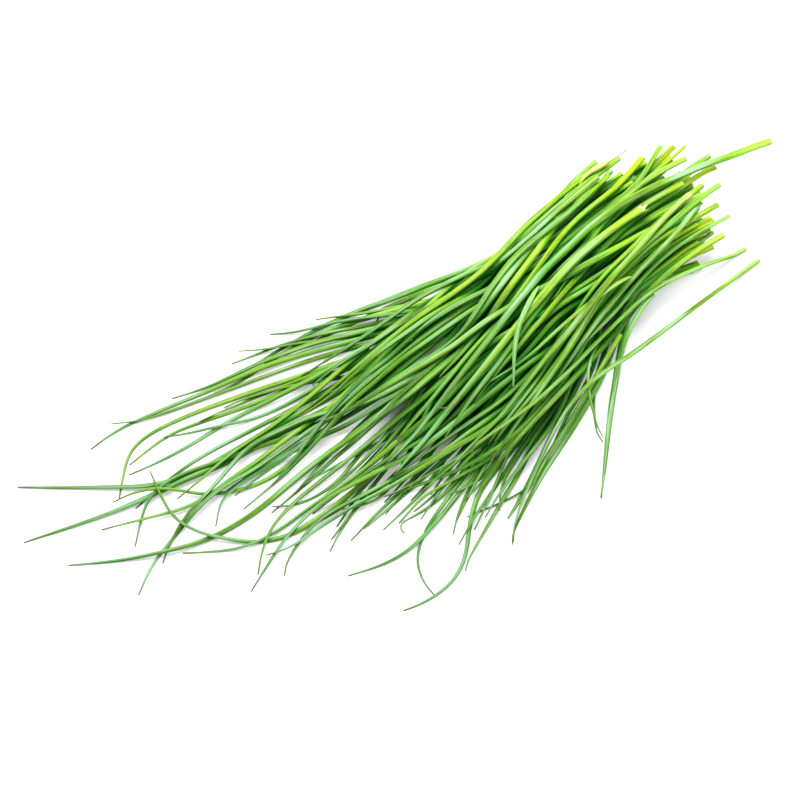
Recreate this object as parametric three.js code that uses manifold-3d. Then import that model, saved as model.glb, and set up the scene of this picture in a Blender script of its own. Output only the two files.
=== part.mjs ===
import * as THREE from 'three';
import { mergeVertices } from 'three/addons/utils/BufferGeometryUtils.js';
import Module from 'manifold-3d';

// A loose bunch of cut chives lying on its side. Millimetres, +Z up, the
// table at z = 0. The cut ends point along +X and the tips fan out towards -X.

const footprintMiddle = [2.28, -0.03];  // put at the origin
const tipShare = 0.28;        // a tip's width as a share of the leaf's width
const slimBase = 0.18;        // how much slimmer a shoot's leaves start
const squash = 0.76;          // leaves press each other a little flat
const sides = 5;              // faces round a leaf, one of them flat underneath
const clearance = 0.12;       // air kept round every leaf, each side
const pressed = 0.66;         // spacing of the stems in one shoot, in widths
const parting = 6;            // past the shared stem, where leaves stop touching
const stemBend = 65;          // tightest downward bend of a stem, as a radius
const tipBend = 45;           // and of a tip
const chordError = 0.45;      // how far a straight stretch may leave the curve
const slideReach = 8;         // how far a leaf rolls aside into a hollow
const shiftSteps = 16;        // tried shifts to each side
const postEvery = 12;         // points between two tried places
const easing = 12;            // how gently a leaf rolls aside
const edgeHold = 1;           // cost of leaving the bunch's flanks
const lean = 0.5;             // how much the flanks lean in as they rise
const tipStray = 0.25;        // extra cost of a tip leaving its line
const shootStray = 0.01;      // cost of a shoot rolling off its line
const leafStray = 0.4;        // and of a leaf lying singly
const swerveCost = 0.1;       // cost of leaning to a side
const bendCost = 0.5;         // cost of bending sideways
// The front and back flank of the bunch along x, from the cut ends on.
const flanks = [
  [130, -4, 30], [122, -12, 34], [107, -20, 35], [100, -18, 35], [87, -16, 35],
  [61, -17, 33], [47, -24, 33], [26, -40, 39], [3, -50, 44], [-30, -60, 60],
];
const cell = 0.5;             // grid of the height map the leaves are laid on
const mapStart = [-170, -90];
const mapSize = [680, 360];
const step = 1.0;             // spacing of the points along a leaf while laying

// Leaf colours, from the old dark leaves to the dried pale ones.
const tones = {
  deep: new THREE.Color('#3f7d2c'),
  fresh: new THREE.Color('#5f9e36'),
  bright: new THREE.Color('#86b83a'),
  blue: new THREE.Color('#5c8f5a'),
  pale: new THREE.Color('#a9c77c'),
};

// The leaves in the order they are laid down, bottom first. Each row is one
// shoot: its tone, the x, y points its stems share from the cut end on, and its
// leaves, each a width and the x, y points it follows alone to its tip.
const shoots = [
  ['deep', [], [
    [2.7, 98,35.5, 54.5,30.5, 36.5,33.5, 11.5,40.5, -19,48.5, -52,52.5]]],
  ['deep', [], [
    [2.5, 98.5,31.5, 78,30.5, 47.5,29.5, 14,38, -11,43, -37.5,48]]],
  ['deep', [], [
    [2.4, 107,13.5, 92.5,13, 76,11, 58,8, 22.5,0, 6,-4, -22,-9.5]]],
  ['deep', [], [
    [2.4, 104.5,1.5, 73.5,-1, 58,-3, 41,-6.5, 8,-13, -20,-20.5]]],
  ['deep', [97,-19.5, 87,-15, 76,-13.5], [
    [2.5, 62,-22, 48,-33, 32,-46.5, 16,-61, 10,-66],
    [1.8, 58,-20, 47,-26, 37,-33, 30,-41, 26.5,-46, 25.5,-50],
    [2.5, 58,-23, 42,-32, 22,-40, 0,-47.5, -15,-54, -21,-57, -24.5,-60.2],
    [2.2, 58,-21.5, 45.5,-25.5, 32.5,-29.5, 20,-33, 7.5,-36.5, -4.5,-40, -15,-43]]],
  ['fresh', [106,-15, 90,-12, 76,-12, 62,-16], [
    [2.2, 40,-28, 15,-37, 0,-43, -10,-47, -20,-50.8],
    [1.6, 45,-27, 22,-35, 8,-42, -3,-47, -12,-47.3, -22,-44.6, -30,-42.3],
    [2.4, 40,-25, 15,-34, -2,-40, -20,-46, -33,-50.8, -40,-53.7, -44,-56.3],
    [2.2, 38.5,-27.5, 25,-31.5, 10.5,-35.5, -2.5,-38.5]]],
  ['deep', [112,-10, 92,-8, 76,-8, 56,-12], [
    [2.6, 25,-26, 0,-33, -20,-37.5, -31,-44.5, -38,-51, -45,-55.7, -54,-57.6, -62,-56.8,
      -69,-54.7],
    [2.2, 25,-27.5, 0,-34.5, -12,-38.5, -27,-43.5, -39.5,-48.5],
    [2.4, 30,-24, 0,-30.5, -20,-34.5, -30,-38.5, -38,-44],
    [2.2, 24,-29, 6.5,-33, -9,-38.5, -21,-43, -31.5,-47]]],
  ['fresh', [108,-5, 90,-4, 76,-4, 52,-9], [
    [2.4, 20,-20, -10,-28, -30,-32.5, -42,-36, -50,-40, -55,-45, -57,-50.5, -57.5,-56.5],
    [2.4, 20,-22, -10,-30, -30,-35, -42,-37.7, -52,-39, -62,-37.8, -75,-33],
    [2.4, 20,-18, -5,-26, -20,-31, -34,-32.6, -44,-31.2, -48.5,-30.2, -49.8,-31.3, -49.5,-32.8],
    [2.4, 24,-13, 4,-18, -16,-22, -34,-27]]],
  ['blue', [118,-1, 96,0, 76,0.5, 50,-5], [
    [2.3, 20,-16, -5,-25, -20,-28.5, -32,-30.4, -42.5,-30.5],
    [2.5, 22,-14, 0,-21, -14,-24.5, -27,-26.5],
    [2.5, 20,-12, -5,-19.5, -25,-24, -40.5,-25.6],
    [2.4, 22,-5, 2,-9, -18,-13, -38,-17]]],
  ['deep', [104,-13, 88,-11, 72,-11, 46,-15], [
    [2.4, 22,-26, 0,-33, -14,-39, -22,-47],
    [2.4, 22,-27.5, 4,-34, -8,-40.5],
    [2.4, 22,-24.5, -2,-30.5, -18,-35.5, -30,-33.5],
    [2.2, 20,-28, 0,-35, -15.5,-40, -27,-45]]],
  ['bright', [109,31, 92,28.5, 76,26.5, 50,25], [
    [2.1, 28,30, 5,38.5, -8,45, -20,52.5],
    [2, 26,28, 10,34.5, 2,38, -2,40, -5.5,37.8],
    [2.5, 24,30, 2,39, -22,46.5, -40,48.3, -55,48.5, -67.5,51]]],
  ['fresh', [103,28, 88,26.5, 75,25, 48,24], [
    [2.2, 20,31.5, -5,40.5, -25,48, -40,53.5, -54,57.5],
    [2, 20,30, -10,40.5, -30,49.5, -41,54.5, -48.7,60.3],
    [2.2, 22,32, 0,40, -17,47.5, -28,52, -36.5,57.7]]],
  ['fresh', [116,24, 94,23.5, 76,22.5, 46,22.5], [
    [2.6, 18,30, -5,38.5, -30,46.5, -55,51.5, -75,56, -90,59.5, -102,61.7, -112.5,61.5],
    [2.2, 18,29, -5,36.5, -30,44, -60,51, -83,57, -93,60, -101,65.3],
    [2.6, 20,31, -2,39.5, -28,48, -50,52.8, -66,55.3, -79,59.3]]],
  ['bright', [124,20, 96,20, 77,19.5, 45,20.5], [
    [2.6, 18,27, -10,35, -35,40, -60,46, -80,51, -95,53.3, -103,52, -109,47, -116.5,39.7],
    [2.4, 18,28, -10,33, -35,37, -60,40.8, -75,45, -88,48.6, -106,48],
    [2.2, 18,27, -10,31.5, -35,36, -55,40.5, -77.5,44.3],
    [2.3, 15,27, -6.5,32.5, -24,34, -38.5,38, -53.5,42, -67,45]]],
  ['blue', [117,15, 96,16, 77,16, 45,17.5], [
    [2.5, 15,24.5, -10,29, -40,34.5, -65,40, -85,41, -97,42.2, -108.5,44.6],
    [2.4, 15,23.5, -10,27.5, -40,31.5, -62,35.5, -78,42, -90.5,48.5],
    [2.5, 15,22.5, -10,26, -40,30, -65,33, -85,35.3, -100,35.2, -114.5,33.5]]],
  ['deep', [122,8, 97,10, 77,11, 46,11], [
    [2.4, 15,9, -15,8, -45,5, -66,3, -80,2],
    [2.4, 15,7, -15,5, -38,1.5, -55,-3, -67,-2.5, -73,-0.5, -78.5,3.5],
    [2.5, 15,10, -15,9.5, -42,7, -58,4, -69,1.5],
    [2.4, 20,5, -6,1, -30,-2, -50,-5]]],
  ['blue', [115,3, 97,5, 77,6, 46,4], [
    [2.5, 15,-1, -15,-5.5, -45,-10, -58,-12.5, -70,-11.5],
    [2.5, 15,0.5, -15,-3.5, -35,-9.5, -52,-13.5, -63,-17, -74,-22],
    [2.4, 15,-3, -15,-8, -40,-13, -58,-15.5, -71,-19],
    [2.3, 15,2, -5.5,1, -24.5,0.5, -39.5,1.5, -53.5,3.5, -65.5,4.5]]],
  ['fresh', [111,-8, 92,-6.5, 74,-7, 46,-11], [
    [2.3, 18,-20, -6,-26, -28,-28.5, -43,-33],
    [2.3, 18,-21.5, -4,-28.5, -18,-33.5, -34,-40],
    [2.3, 20,-18.5, -2,-23.5, -26,-24.5, -55,-27]]],
  ['deep', [108,5, 90,6.5, 72,7, 44,3.5], [
    [2.4, 16,-3, -12,-8, -36,-11, -54,-14, -66,-17.5],
    [2.4, 16,-4.5, -10,-10, -34,-15.5, -50,-18, -61,-12.5],
    [2.3, 16,-1.5, -10,-5.5, -32,-7.5, -52,-7, -68,-6],
    [2.3, 12,-4, -8,-7, -24.5,-7.5, -40,-7.5, -52.5,-6.5, -63.5,-6.5]]],
  ['deep', [104,12, 88,14, 72,14.5, 42,16.5], [
    [2.9, 10,20, -20,24, -55,28, -80,29.5, -95,32, -105,36, -120,48, -140.5,65.5],
    [3, 10,19.5, -20,23, -55,26.5, -80,29, -97,32.5, -110,35, -130,40.2, -151,47],
    [2.4, 10,18.5, -20,21.5, -55,25, -80,29.5, -98,33.8, -109,33, -116,28.5, -123.5,22],
    [2.4, -3,15, -20,16.5, -37.5,17, -55,17.5, -68,17.5, -78.5,18.5, -88.5,18.5]]],
  ['bright', [110,18, 90,19, 72,20, 42,20], [
    [2.4, 10,17, -20,14.5, -50,12.3, -70,12, -83,15.4, -94,22.2, -103,31.5, -110,36.3,
      -119,39.5],
    [2.4, 10,19, -25,21.5, -55,25, -80,27.4, -102,26.5],
    [2.5, 10,18, -25,19, -55,22, -78,22.3, -95,21.3, -108,25, -118,28.7, -128,34]]],
  ['fresh', [108,-4, 92,-3, 72,-2.5, 42,-4], [
    [2.3, 12,-11.5, -15,-17, -42,-20, -55,-21.5, -66,-23.5],
    [2.3, 12,-13, -15,-19, -38,-21, -60,-22.5],
    [2.3, 12,-10, -15,-15, -35,-20, -51,-24],
    [2.3, 20,-12, 4.5,-13.5, -10,-14.5, -24.5,-16, -37.5,-18, -48,-19.5]]],
  ['blue', [117,8, 92,9, 72,9.5, 42,10.5], [
    [2.4, 10,14, -25,17.5, -55,20, -75,20, -93,20.3, -108,17.3, -122,13, -133,6.5],
    [2.7, 10,15, -25,20.5, -50,27.3, -68,28.3, -80,25.3, -92,20.8, -104,17.6, -113,13.3,
      -119,9.3],
    [2.3, 10,13, -25,16, -55,18.7, -78,20.5, -92,19.3, -100,12.8]]],
  ['deep', [119,13, 95,13, 72,13.5, 40,11], [
    [2.9, 10,8, -20,8.5, -45,9.8, -66,8.2, -84,6.2, -100,7.3, -115,12, -130,20.5, -144.5,30.3],
    [2.3, 10,9.5, -20,10.3, -50,10.3, -72,10.8, -86.5,10.2],
    [2.4, 10,11, -20,12.7, -48,14, -62,15.3, -74,17, -86,17],
    [2.3, -9.5,12.5, -27.5,13, -45,13.5, -60.5,13.5, -73.5,13.5]]],
  ['fresh', [106,-1, 88,0, 70,0.5, 40,1], [
    [2.5, 10,-2, -20,-5, -45,-8.5, -65,-10, -80,-8.8, -90,-4.3, -98,3.5, -104,11, -107.3,20,
      -106,29, -103,39.5],
    [2.2, 10,-0.5, -20,-2, -50,-2.5, -70,-3, -84,-4, -94,-2.5, -103,3, -112,9.7],
    [2.4, 10,1, -20,0, -50,-1.5, -70,-1.5, -84,-4.3, -91,-8.3, -97.5,-13.7],
    [2.3, 5,-2.5, -15.5,-5, -31.5,-5.5, -46,-5.5, -58.5,-5.5, -69.5,-5.5]]],
  ['blue', [109,-7, 92,-6.5, 70,-8, 40,-9.5], [
    [2.4, 10,-8, -20,-6.5, -50,-4, -68,-3.5, -84,-8, -94,-12.3, -103.5,-16.5],
    [2.4, 10,-10, -20,-9, -50,-7, -70,-7.3, -83,-12, -88,-14.7, -92,-18.7],
    [2.3, 10,-11.5, -20,-10.5, -50,-9.8, -72,-10.5, -84,-11.5, -91.5,-9.5],
    [2.3, 13,-12, -2,-13.5, -17,-14.5, -30,-16, -41.5,-17.5]]],
  ['bright', [109,-13, 92,-11, 72,-11, 48,-15], [
    [2.3, 20,-22.5, -2,-28, -25,-27.5, -38,-26.3, -49.5,-28.3],
    [2.3, 20,-21, -2,-24.5, -22,-22.5, -46.5,-15.5],
    [2, 25,-21, 8,-24, -12,-23, -37,-24]]],
  // leaves lying singly on top
  ['deep', [], [
    [2.4, 105.5,-12, 86,-12, 78,-13, 57,-17, 23.5,-23.5, -9.5,-28.5]]],
  ['fresh', [], [
    [2.5, 112,-15.5, 98,-13.5, 88.5,-13, 78,-14, 66.5,-16.5, 43,-23.5, 11,-29.5, -27.5,-36]]],
  ['deep', [], [
    [1.7, 118,-15.5, 94.5,-13.5, 74.5,-14, 51.5,-18, 18,-24]]],
  ['bright', [], [
    [2.3, 116.5,-11, 101.5,-11, 82.5,-12.5, 53.5,-18, 32.5,-23, -7.5,-29.5]]],
  ['blue', [], [
    [2.3, 111.5,-8, 93,-13, 76.5,-15, 45,-22.5, 13.5,-29.5]]],
  ['fresh', [], [
    [2.4, 121,-7, 108.5,-8, 65,-17, 46.5,-21.5, 15,-28.5, -12,-33]]],
  ['blue', [], [
    [1.9, 74,-19, 62.5,-23, 57,-26, 38.5,-40, 10,-66]]],
  ['fresh', [], [
    [2, 56,-24.5, 23,-38, 3.5,-44, -3.5,-47, -20,-51.5]]],
  ['deep', [], [
    [1.2, 47.5,-26, 41,-28.5, 35,-32.5, 31.5,-36.5, 26,-46, 25,-50.5]]],
  ['fresh', [], [
    [1.7, 119,-24.5, 95.5,-23.5, 66,-23, 55.5,-24, 24.5,-28, 7.5,-29.5, -22.5,-26.5, -30.5,-24,
      -47,-20]]],
  ['blue', [], [
    [1.9, 119,-31, 99,-30, 64.5,-33, 37,-34, 28,-35, 21,-36.5, 7,-41.5, -13.5,-51.5, -19.5,-55,
      -24,-59.5]]],
  ['deep', [], [
    [2.3, 133.5,11, 110.5,10.5, 92,12, 81.5,11.5, 71.5,9.5, 48,3.5]]],
  ['bright', [], [
    [2.4, 130.5,4, 123,5, 107,4.5, 69,1, 26,-9.5, -3.5,-15]]],
  ['fresh', [], [
    [2.6, 114,4.5, 71,3.5, 61.5,2.5, 20.5,-9.5, -19.5,-18]]],
  ['fresh', [], [
    [2.2, 120.5,21.5, 100.5,14.5, 85,11, 55,2, 34.5,-3]]],
  ['blue', [], [
    [2.3, 118.5,18.5, 93,12.5, 63,5.5, 44,2]]],
  ['pale', [], [
    [1.4, 127,17.5, 111.5,15, 94,13.5]]],
  ['bright', [], [
    [2.3, 122,12, 108,13.5, 99.5,13.5, 81.5,10.5, 40.5,-4.5]]],
  ['bright', [], [
    [2.5, 113.5,25.5, 96.5,20.5, 64,14, 37.5,7, 12.5,1, -14,-4.5, -31.5,-7]]],
  ['blue', [], [
    [2.5, 102.5,28.5, 83.5,23.5, 49,16, 23,9.5, 0,4.5, -7.5,3.5, -40.5,2.5]]],
  ['bright', [], [
    [3, 94.5,30.5, 88,28.5, 57.5,16.5, 34,9.5, 9.5,4, -7.5,2]]],
  ['deep', [], [
    [2.4, 95.5,28, 65.5,19, 42,15.5, 16.5,7.5, 9,5.5, -6.5,6, -14.5,7]]],
  ['fresh', [], [
    [2.4, 104,29, 71,24.5, 48.5,23.5, 23.5,19.5, -3,19, -21.5,21.5, -51,22.5]]],
  ['blue', [], [
    [2.4, 98.5,30.5, 74.5,29.5, 45.5,26.5, 37,26.5, 28.5,27.5, -3.5,33.5, -20,35.5, -38.5,37]]],
  ['blue', [], [
    [2.3, 90,25, 54,21.5, 44.5,22, 7.5,25.5, -29,29.5, -39,29.5]]],
  ['bright', [], [
    [2.6, 99,28.5, 75,27.5, 41.5,22, 34,21.5, 13,23.5, -30.5,25.5, -48.5,25]]],
  ['fresh', [], [
    [2.8, 94,1.5, 72.5,0, 52,0, 20,4.5, 3,5.5, -13,8, -46.5,16]]],
  ['blue', [], [
    [3.1, 155.5,1.5, 131,4.5, 102.5,8, 60,8.5, 29,1, -3.5,-6, -41.5,-12]]],
  ['pale', [], [
    [3, 93,5, 82.5,5, 60.5,2, 40,-2.5, 9,-9, -12,-11.5, -40.5,-16.5]]],
  ['bright', [], [
    [1.8, 99,-4.5, 78,-8.5, 61.5,-9.5, 54,-10.5, 26,-17.5]]],
  ['pale', [], [
    [1.8, 70,-18, 59,-18, 28,-15.5, 3.5,-13.5]]],
  ['fresh', [], [
    [2.4, 116.5,-1, 102.5,-4.5, 73.5,-15.5, 56,-20, 39.5,-22, 22.5,-22.5, -3.5,-26,
      -26.5,-28.5]]],
  ['pale', [], [
    [1.9, 40.5,2, 20,-8.5, 7,-21]]],
];

// A repeatable draw between 0 and 1.
function drawsFrom(start) {
  let state = start;
  return () => {
    state = (state * 16807) % 2147483647;
    return state / 2147483647;
  };
}

// Evenly spaced points on a smooth curve through the given ones.
function smoothPath(points) {
  const knots = points.map(([x, y]) => new THREE.Vector3(x, y, 0));
  const curve = new THREE.CatmullRomCurve3(knots, false, 'centripetal');
  curve.arcLengthDivisions = 24 * points.length;
  const length = curve.getLength();
  const count = Math.max(2, Math.round(length / step));
  const path = curve.getSpacedPoints(count);
  return path.map((p, i) => ({ x: p.x, y: p.y, z: 0, along: (length * i) / count }));
}

// A leaf is slimmer where it grew inside its shoot, and narrows to its tip.
function radiusAt(share, width, slimness) {
  const base = 1 - slimness * (1 - THREE.MathUtils.smoothstep(share, 0, 0.45));
  return (width / 2) * (base - 0.12 * share - (0.88 - tipShare) * share ** 3.2);
}

// The height map of everything laid so far.
const topOf = new Float64Array(mapSize[0] * mapSize[1]);

// Calls visit(index, rise) for the map cells under a leaf's cross-section.
function underneath(x, y, radius, visit) {
  const reach = radius + clearance;
  const i0 = Math.floor((x - reach - mapStart[0]) / cell);
  const i1 = Math.floor((x + reach - mapStart[0]) / cell);
  const j0 = Math.floor((y - reach - mapStart[1]) / cell);
  const j1 = Math.floor((y + reach - mapStart[1]) / cell);
  for (let i = i0; i <= i1; i += 1) {
    const dx = mapStart[0] + (i + 0.5) * cell - x;
    for (let j = j0; j <= j1; j += 1) {
      const dy = mapStart[1] + (j + 0.5) * cell - y;
      const left = reach * reach - dx * dx - dy * dy;
      if (left > 0) visit(i * mapSize[1] + j, squash * Math.sqrt(left));
    }
  }
}

// The lowest a leaf's middle can be at a point: on the table or on others.
function restingHeight(x, y, radius) {
  let height = radius * squash * Math.cos(Math.PI / sides);
  underneath(x, y, radius, (index, rise) => {
    if (topOf[index] > 0) height = Math.max(height, topOf[index] + rise);
  });
  return height;
}

function layDown(points) {
  for (const p of points) {
    underneath(p.x, p.y, p.radius, (index, rise) => {
      topOf[index] = Math.max(topOf[index], p.z + rise);
    });
  }
}

// Lifts a leaf over what it crosses: a stiff blade, bending down gently.
function drape(leaf) {
  const { path } = leaf;
  const length = path[path.length - 1].along;
  const raised = path.map((p) => {
    const share = p.along / length;
    const bend = stemBend + (tipBend - stemBend) * share;
    let z = -Infinity;
    for (const q of path) {
      z = Math.max(z, q.rest - (p.along - q.along) ** 2 / (2 * bend));
    }
    return z;
  });
  const last = raised.length - 1;
  const reading = (i) => {
    if (i < 0) return 2 * raised[0] - raised[Math.min(-i, last)];
    if (i > last) return 2 * raised[last] - raised[Math.max(2 * last - i, 0)];
    return raised[i];
  };
  path.forEach((p, i) => {
    let sum = 0;
    let weights = 0;
    for (let k = -9; k <= 9; k += 1) {
      const weight = Math.exp(-(k * k) / 18);
      sum += weight * reading(i + k);
      weights += weight;
    }
    p.z = Math.max(sum / weights, p.radius * squash * Math.cos(Math.PI / sides));
  });
}

// How far a point lies outside the bunch, whose flanks lean in as they rise.
function outside(x, y, z) {
  let n = 0;
  while (n < flanks.length - 2 && x < flanks[n + 1][0]) n += 1;
  const [x0, front0, back0] = flanks[n];
  const [x1, front1, back1] = flanks[n + 1];
  const t = THREE.MathUtils.clamp((x - x0) / (x1 - x0), 0, 1);
  const front = front0 + (front1 - front0) * t + lean * z;
  const back = back0 + (back1 - back0) * t - lean * z;
  return Math.max(0, front - y, y - back);
}

// The run of shifts with the least cost: at each post its own, and between the
// posts that of swerving and, more, of bending.
function cheapestRun(heights, shifts) {
  const swerve = (a, b) => swerveCost * (b - a) ** 2;
  let costs = shifts.map((a, j) => (
    shifts.map((b, k) => heights[0][j] + heights[1][k] + swerve(a, b))
  ));
  const choices = [];
  for (let n = 2; n < heights.length; n += 1) {
    const next = shifts.map(() => shifts.map(() => 0));
    const choice = shifts.map(() => shifts.map(() => 0));
    for (let k = 0; k < shifts.length; k += 1) {
      for (let l = 0; l < shifts.length; l += 1) {
        let best = Infinity;
        let from = 0;
        for (let j = 0; j < shifts.length; j += 1) {
          const bend = shifts[l] - 2 * shifts[k] + shifts[j];
          const total = costs[j][k] + bendCost * bend * bend;
          if (total < best - 1e-9) {
            best = total;
            from = j;
          }
        }
        next[k][l] = best + heights[n][l] + swerve(shifts[k], shifts[l]);
        choice[k][l] = from;
      }
    }
    costs = next;
    choices.push(choice);
  }
  let last = [0, 0];
  costs.forEach((row, k) => row.forEach((cost, l) => {
    if (cost < costs[last[0]][last[1]] - 1e-9) last = [k, l];
  }));
  const chosen = [shifts[last[0]], shifts[last[1]]];
  for (let n = choices.length - 1; n >= 0; n -= 1) {
    last = [choices[n][last[0]][last[1]], last[0]];
    chosen.unshift(shifts[last[0]]);
  }
  return chosen;
}

// Rolls a leaf sideways into the hollows near its line. At posts along the leaf
// each shift to the side costs the height the leaf would lie at, plus a little
// for leaving its line and for bending; the cheapest run of shifts is kept. The
// stems of a shoot roll together: the first finds the way, the rest follow it.
function settle(leaf, mates, follow) {
  const { path, held } = leaf;
  const stray = mates.length > 1 ? shootStray : leafStray;
  const posts = [];
  for (let i = 0; i < path.length; i += postEvery) posts.push(i);
  const shifts = [];
  for (let k = -shiftSteps; k <= shiftSteps; k += 1) shifts.push((slideReach * k) / shiftSteps);
  const side = path.map((p, i) => {
    const a = path[Math.max(i - 2, 0)];
    const b = path[Math.min(i + 2, path.length - 1)];
    const run = Math.hypot(b.x - a.x, b.y - a.y);
    return [-(b.y - a.y) / run, (b.x - a.x) / run];
  });
  const heights = [];
  for (const post of posts) {
    const here = shifts.map((shift) => {
      const together = path[post].along < held + parting;
      if (together && follow) return 1000 * Math.abs(shift - follow(path[post].x));
      let sum = 0;
      let points = 0;
      for (let i = post - postEvery / 2; i < post + postEvery / 2; i += 1) {
        if (i >= 0 && i < path.length) {
          const p = path[i];
          sum += Math.max(...(together ? mates : [leaf]).map((mate) => {
            const aside = mate.aside - leaf.aside;
            const x = p.x + (shift + aside) * side[i][0];
            const y = p.y + (shift + aside) * side[i][1];
            const height = restingHeight(x, y, p.radius);
            const astray = Math.max(0, outside(x, y, height) - outside(p.x, p.y, 0));
            return height + edgeHold * astray * astray + leaf.above - mate.above;
          }));
          points += 1;
        }
      }
      const share = path[post].along / path[path.length - 1].along;
      return sum / points + (stray + tipStray * share ** 6) * shift * shift;
    });
    heights.push(here);
  }
  const chosen = cheapestRun(heights, shifts);
  const shiftAt = (i) => {
    const t = Math.min(Math.max(i / postEvery, 0), posts.length - 1);
    const n = Math.min(Math.floor(t), posts.length - 2);
    return chosen[n] + (chosen[n + 1] - chosen[n]) * (t - n);
  };
  path.forEach((p, i) => {
    let sum = 0;
    let weights = 0;
    for (let k = -3 * easing; k <= 3 * easing; k += 1) {
      const weight = Math.exp(-(k * k) / (2 * easing * easing));
      sum += weight * shiftAt(i + k);
      weights += weight;
    }
    p.x += (side[i][0] * sum) / weights;
    p.y += (side[i][1] * sum) / weights;
  });
  for (const p of path) p.rest = restingHeight(p.x, p.y, p.radius);
  return (x) => {
    const post = posts.findIndex((i) => path[i].x <= x);
    return chosen[post < 0 ? posts.length - 1 : post];
  };
}

// Keeps the few points that hold the curve within chordError, and in a shoot
// the points where its stems' rings line up.
function thin({ path, rings }) {
  const fixed = rings.map((x) => path.findIndex((p) => p.x <= x)).filter((i) => i > 4);
  const keep = new Set([0, ...fixed, path.length - 1]);
  const split = (a, b) => {
    if (b - a < 2) return;
    const from = new THREE.Vector3(path[a].x, path[a].y, path[a].z);
    const to = new THREE.Vector3(path[b].x, path[b].y, path[b].z);
    const chord = new THREE.Line3(from, to);
    const spot = new THREE.Vector3();
    const near = new THREE.Vector3();
    let worst = 0;
    let at = a;
    for (let i = a + 1; i < b; i += 1) {
      spot.set(path[i].x, path[i].y, path[i].z);
      chord.closestPointToPoint(spot, true, near);
      const miss = spot.distanceTo(near);
      if (miss > worst) {
        worst = miss;
        at = i;
      }
    }
    if (worst > chordError) {
      keep.add(at);
      split(a, at);
      split(at, b);
    }
  };
  const held = [...keep].sort((a, b) => a - b);
  split(held[held.length - 2], path.length - 1);
  return [...keep].sort((a, b) => a - b).map((i) => ({ ...path[i] }));
}

// Points along the straight stretches between stations.
function chordPoints(stations) {
  const points = [];
  for (let i = 0; i + 1 < stations.length; i += 1) {
    const a = stations[i];
    const b = stations[i + 1];
    const count = Math.max(1, Math.round(Math.hypot(b.x - a.x, b.y - a.y) / step));
    for (let k = 0; k <= count; k += 1) {
      const t = k / count;
      points.push({
        x: a.x + (b.x - a.x) * t,
        y: a.y + (b.y - a.y) * t,
        z: a.z + (b.z - a.z) * t,
        along: a.along + (b.along - a.along) * t,
        radius: a.radius + (b.radius - a.radius) * t,
        span: i,
      });
    }
  }
  return points;
}

// Lifts stations until no straight stretch dips into the leaves below it.
function clearBelow(stations) {
  for (let round = 0; round < 4; round += 1) {
    const short = new Array(stations.length - 1).fill(0);
    for (const p of chordPoints(stations)) {
      const lack = restingHeight(p.x, p.y, p.radius) - p.z;
      short[p.span] = Math.max(short[p.span], lack);
    }
    if (Math.max(...short) < 0.01) return;
    stations.forEach((s, i) => {
      s.z += Math.max(short[i - 1] ?? 0, short[i] ?? 0);
    });
  }
}

// A closed, straight-sided tube through the stations.
function tube(stations) {
  const rings = [];
  const ahead = new THREE.Vector3();
  const across = new THREE.Vector3();
  const over = new THREE.Vector3();
  stations.forEach((s, i) => {
    const a = stations[Math.max(i - 1, 0)];
    const b = stations[Math.min(i + 1, stations.length - 1)];
    ahead.set(b.x - a.x, b.y - a.y, 0).normalize();
    across.set(-ahead.y, ahead.x, 0);
    over.set(0, 0, 1);
    const ring = [];
    for (let k = 0; k < sides; k += 1) {
      const angle = Math.PI / 2 + (2 * Math.PI * k) / sides;
      ring.push(new THREE.Vector3(s.x, s.y, s.z)
        .addScaledVector(across, s.radius * Math.cos(angle))
        .addScaledVector(over, s.radius * squash * Math.sin(angle)));
    }
    rings.push(ring);
  });
  const positions = [];
  const face = (a, b, c) => positions.push(...a.toArray(), ...b.toArray(), ...c.toArray());
  for (let i = 0; i + 1 < rings.length; i += 1) {
    for (let k = 0; k < sides; k += 1) {
      const n = (k + 1) % sides;
      face(rings[i][k], rings[i][n], rings[i + 1][n]);
      face(rings[i][k], rings[i + 1][n], rings[i + 1][k]);
    }
  }
  const end = rings[rings.length - 1];
  for (let k = 1; k + 1 < sides; k += 1) {
    face(rings[0][0], rings[0][k + 1], rings[0][k]);
    face(end[0], end[k], end[k + 1]);
  }
  const geometry = new THREE.BufferGeometry();
  geometry.setAttribute('position', new THREE.Float32BufferAttribute(positions, 3));
  return mergeVertices(geometry, 1e-4);
}

const wasm = await Module();
wasm.setup();

function toSolid(geometry) {
  return new wasm.Manifold(new wasm.Mesh({
    numProp: 3,
    vertProperties: new Float32Array(geometry.getAttribute('position').array),
    triVerts: new Uint32Array(geometry.index.array),
  }));
}

function toGeometry(solid) {
  const { vertProperties, triVerts } = solid.getMesh();
  const geometry = new THREE.BufferGeometry();
  geometry.setAttribute('position', new THREE.BufferAttribute(vertProperties, 3));
  geometry.setIndex(new THREE.BufferAttribute(triVerts, 1));
  return geometry;
}

// Joins a shoot's leaves and fills the slivers of air shut in between them.
function fuse(tubes) {
  let solid = toSolid(tubes[0]);
  for (const other of tubes.slice(1)) solid = solid.add(toSolid(other));
  const parts = solid.simplify(0.004).decompose();
  parts.sort((a, b) => b.volume() - a.volume());
  return toGeometry(parts[0]);
}

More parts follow.
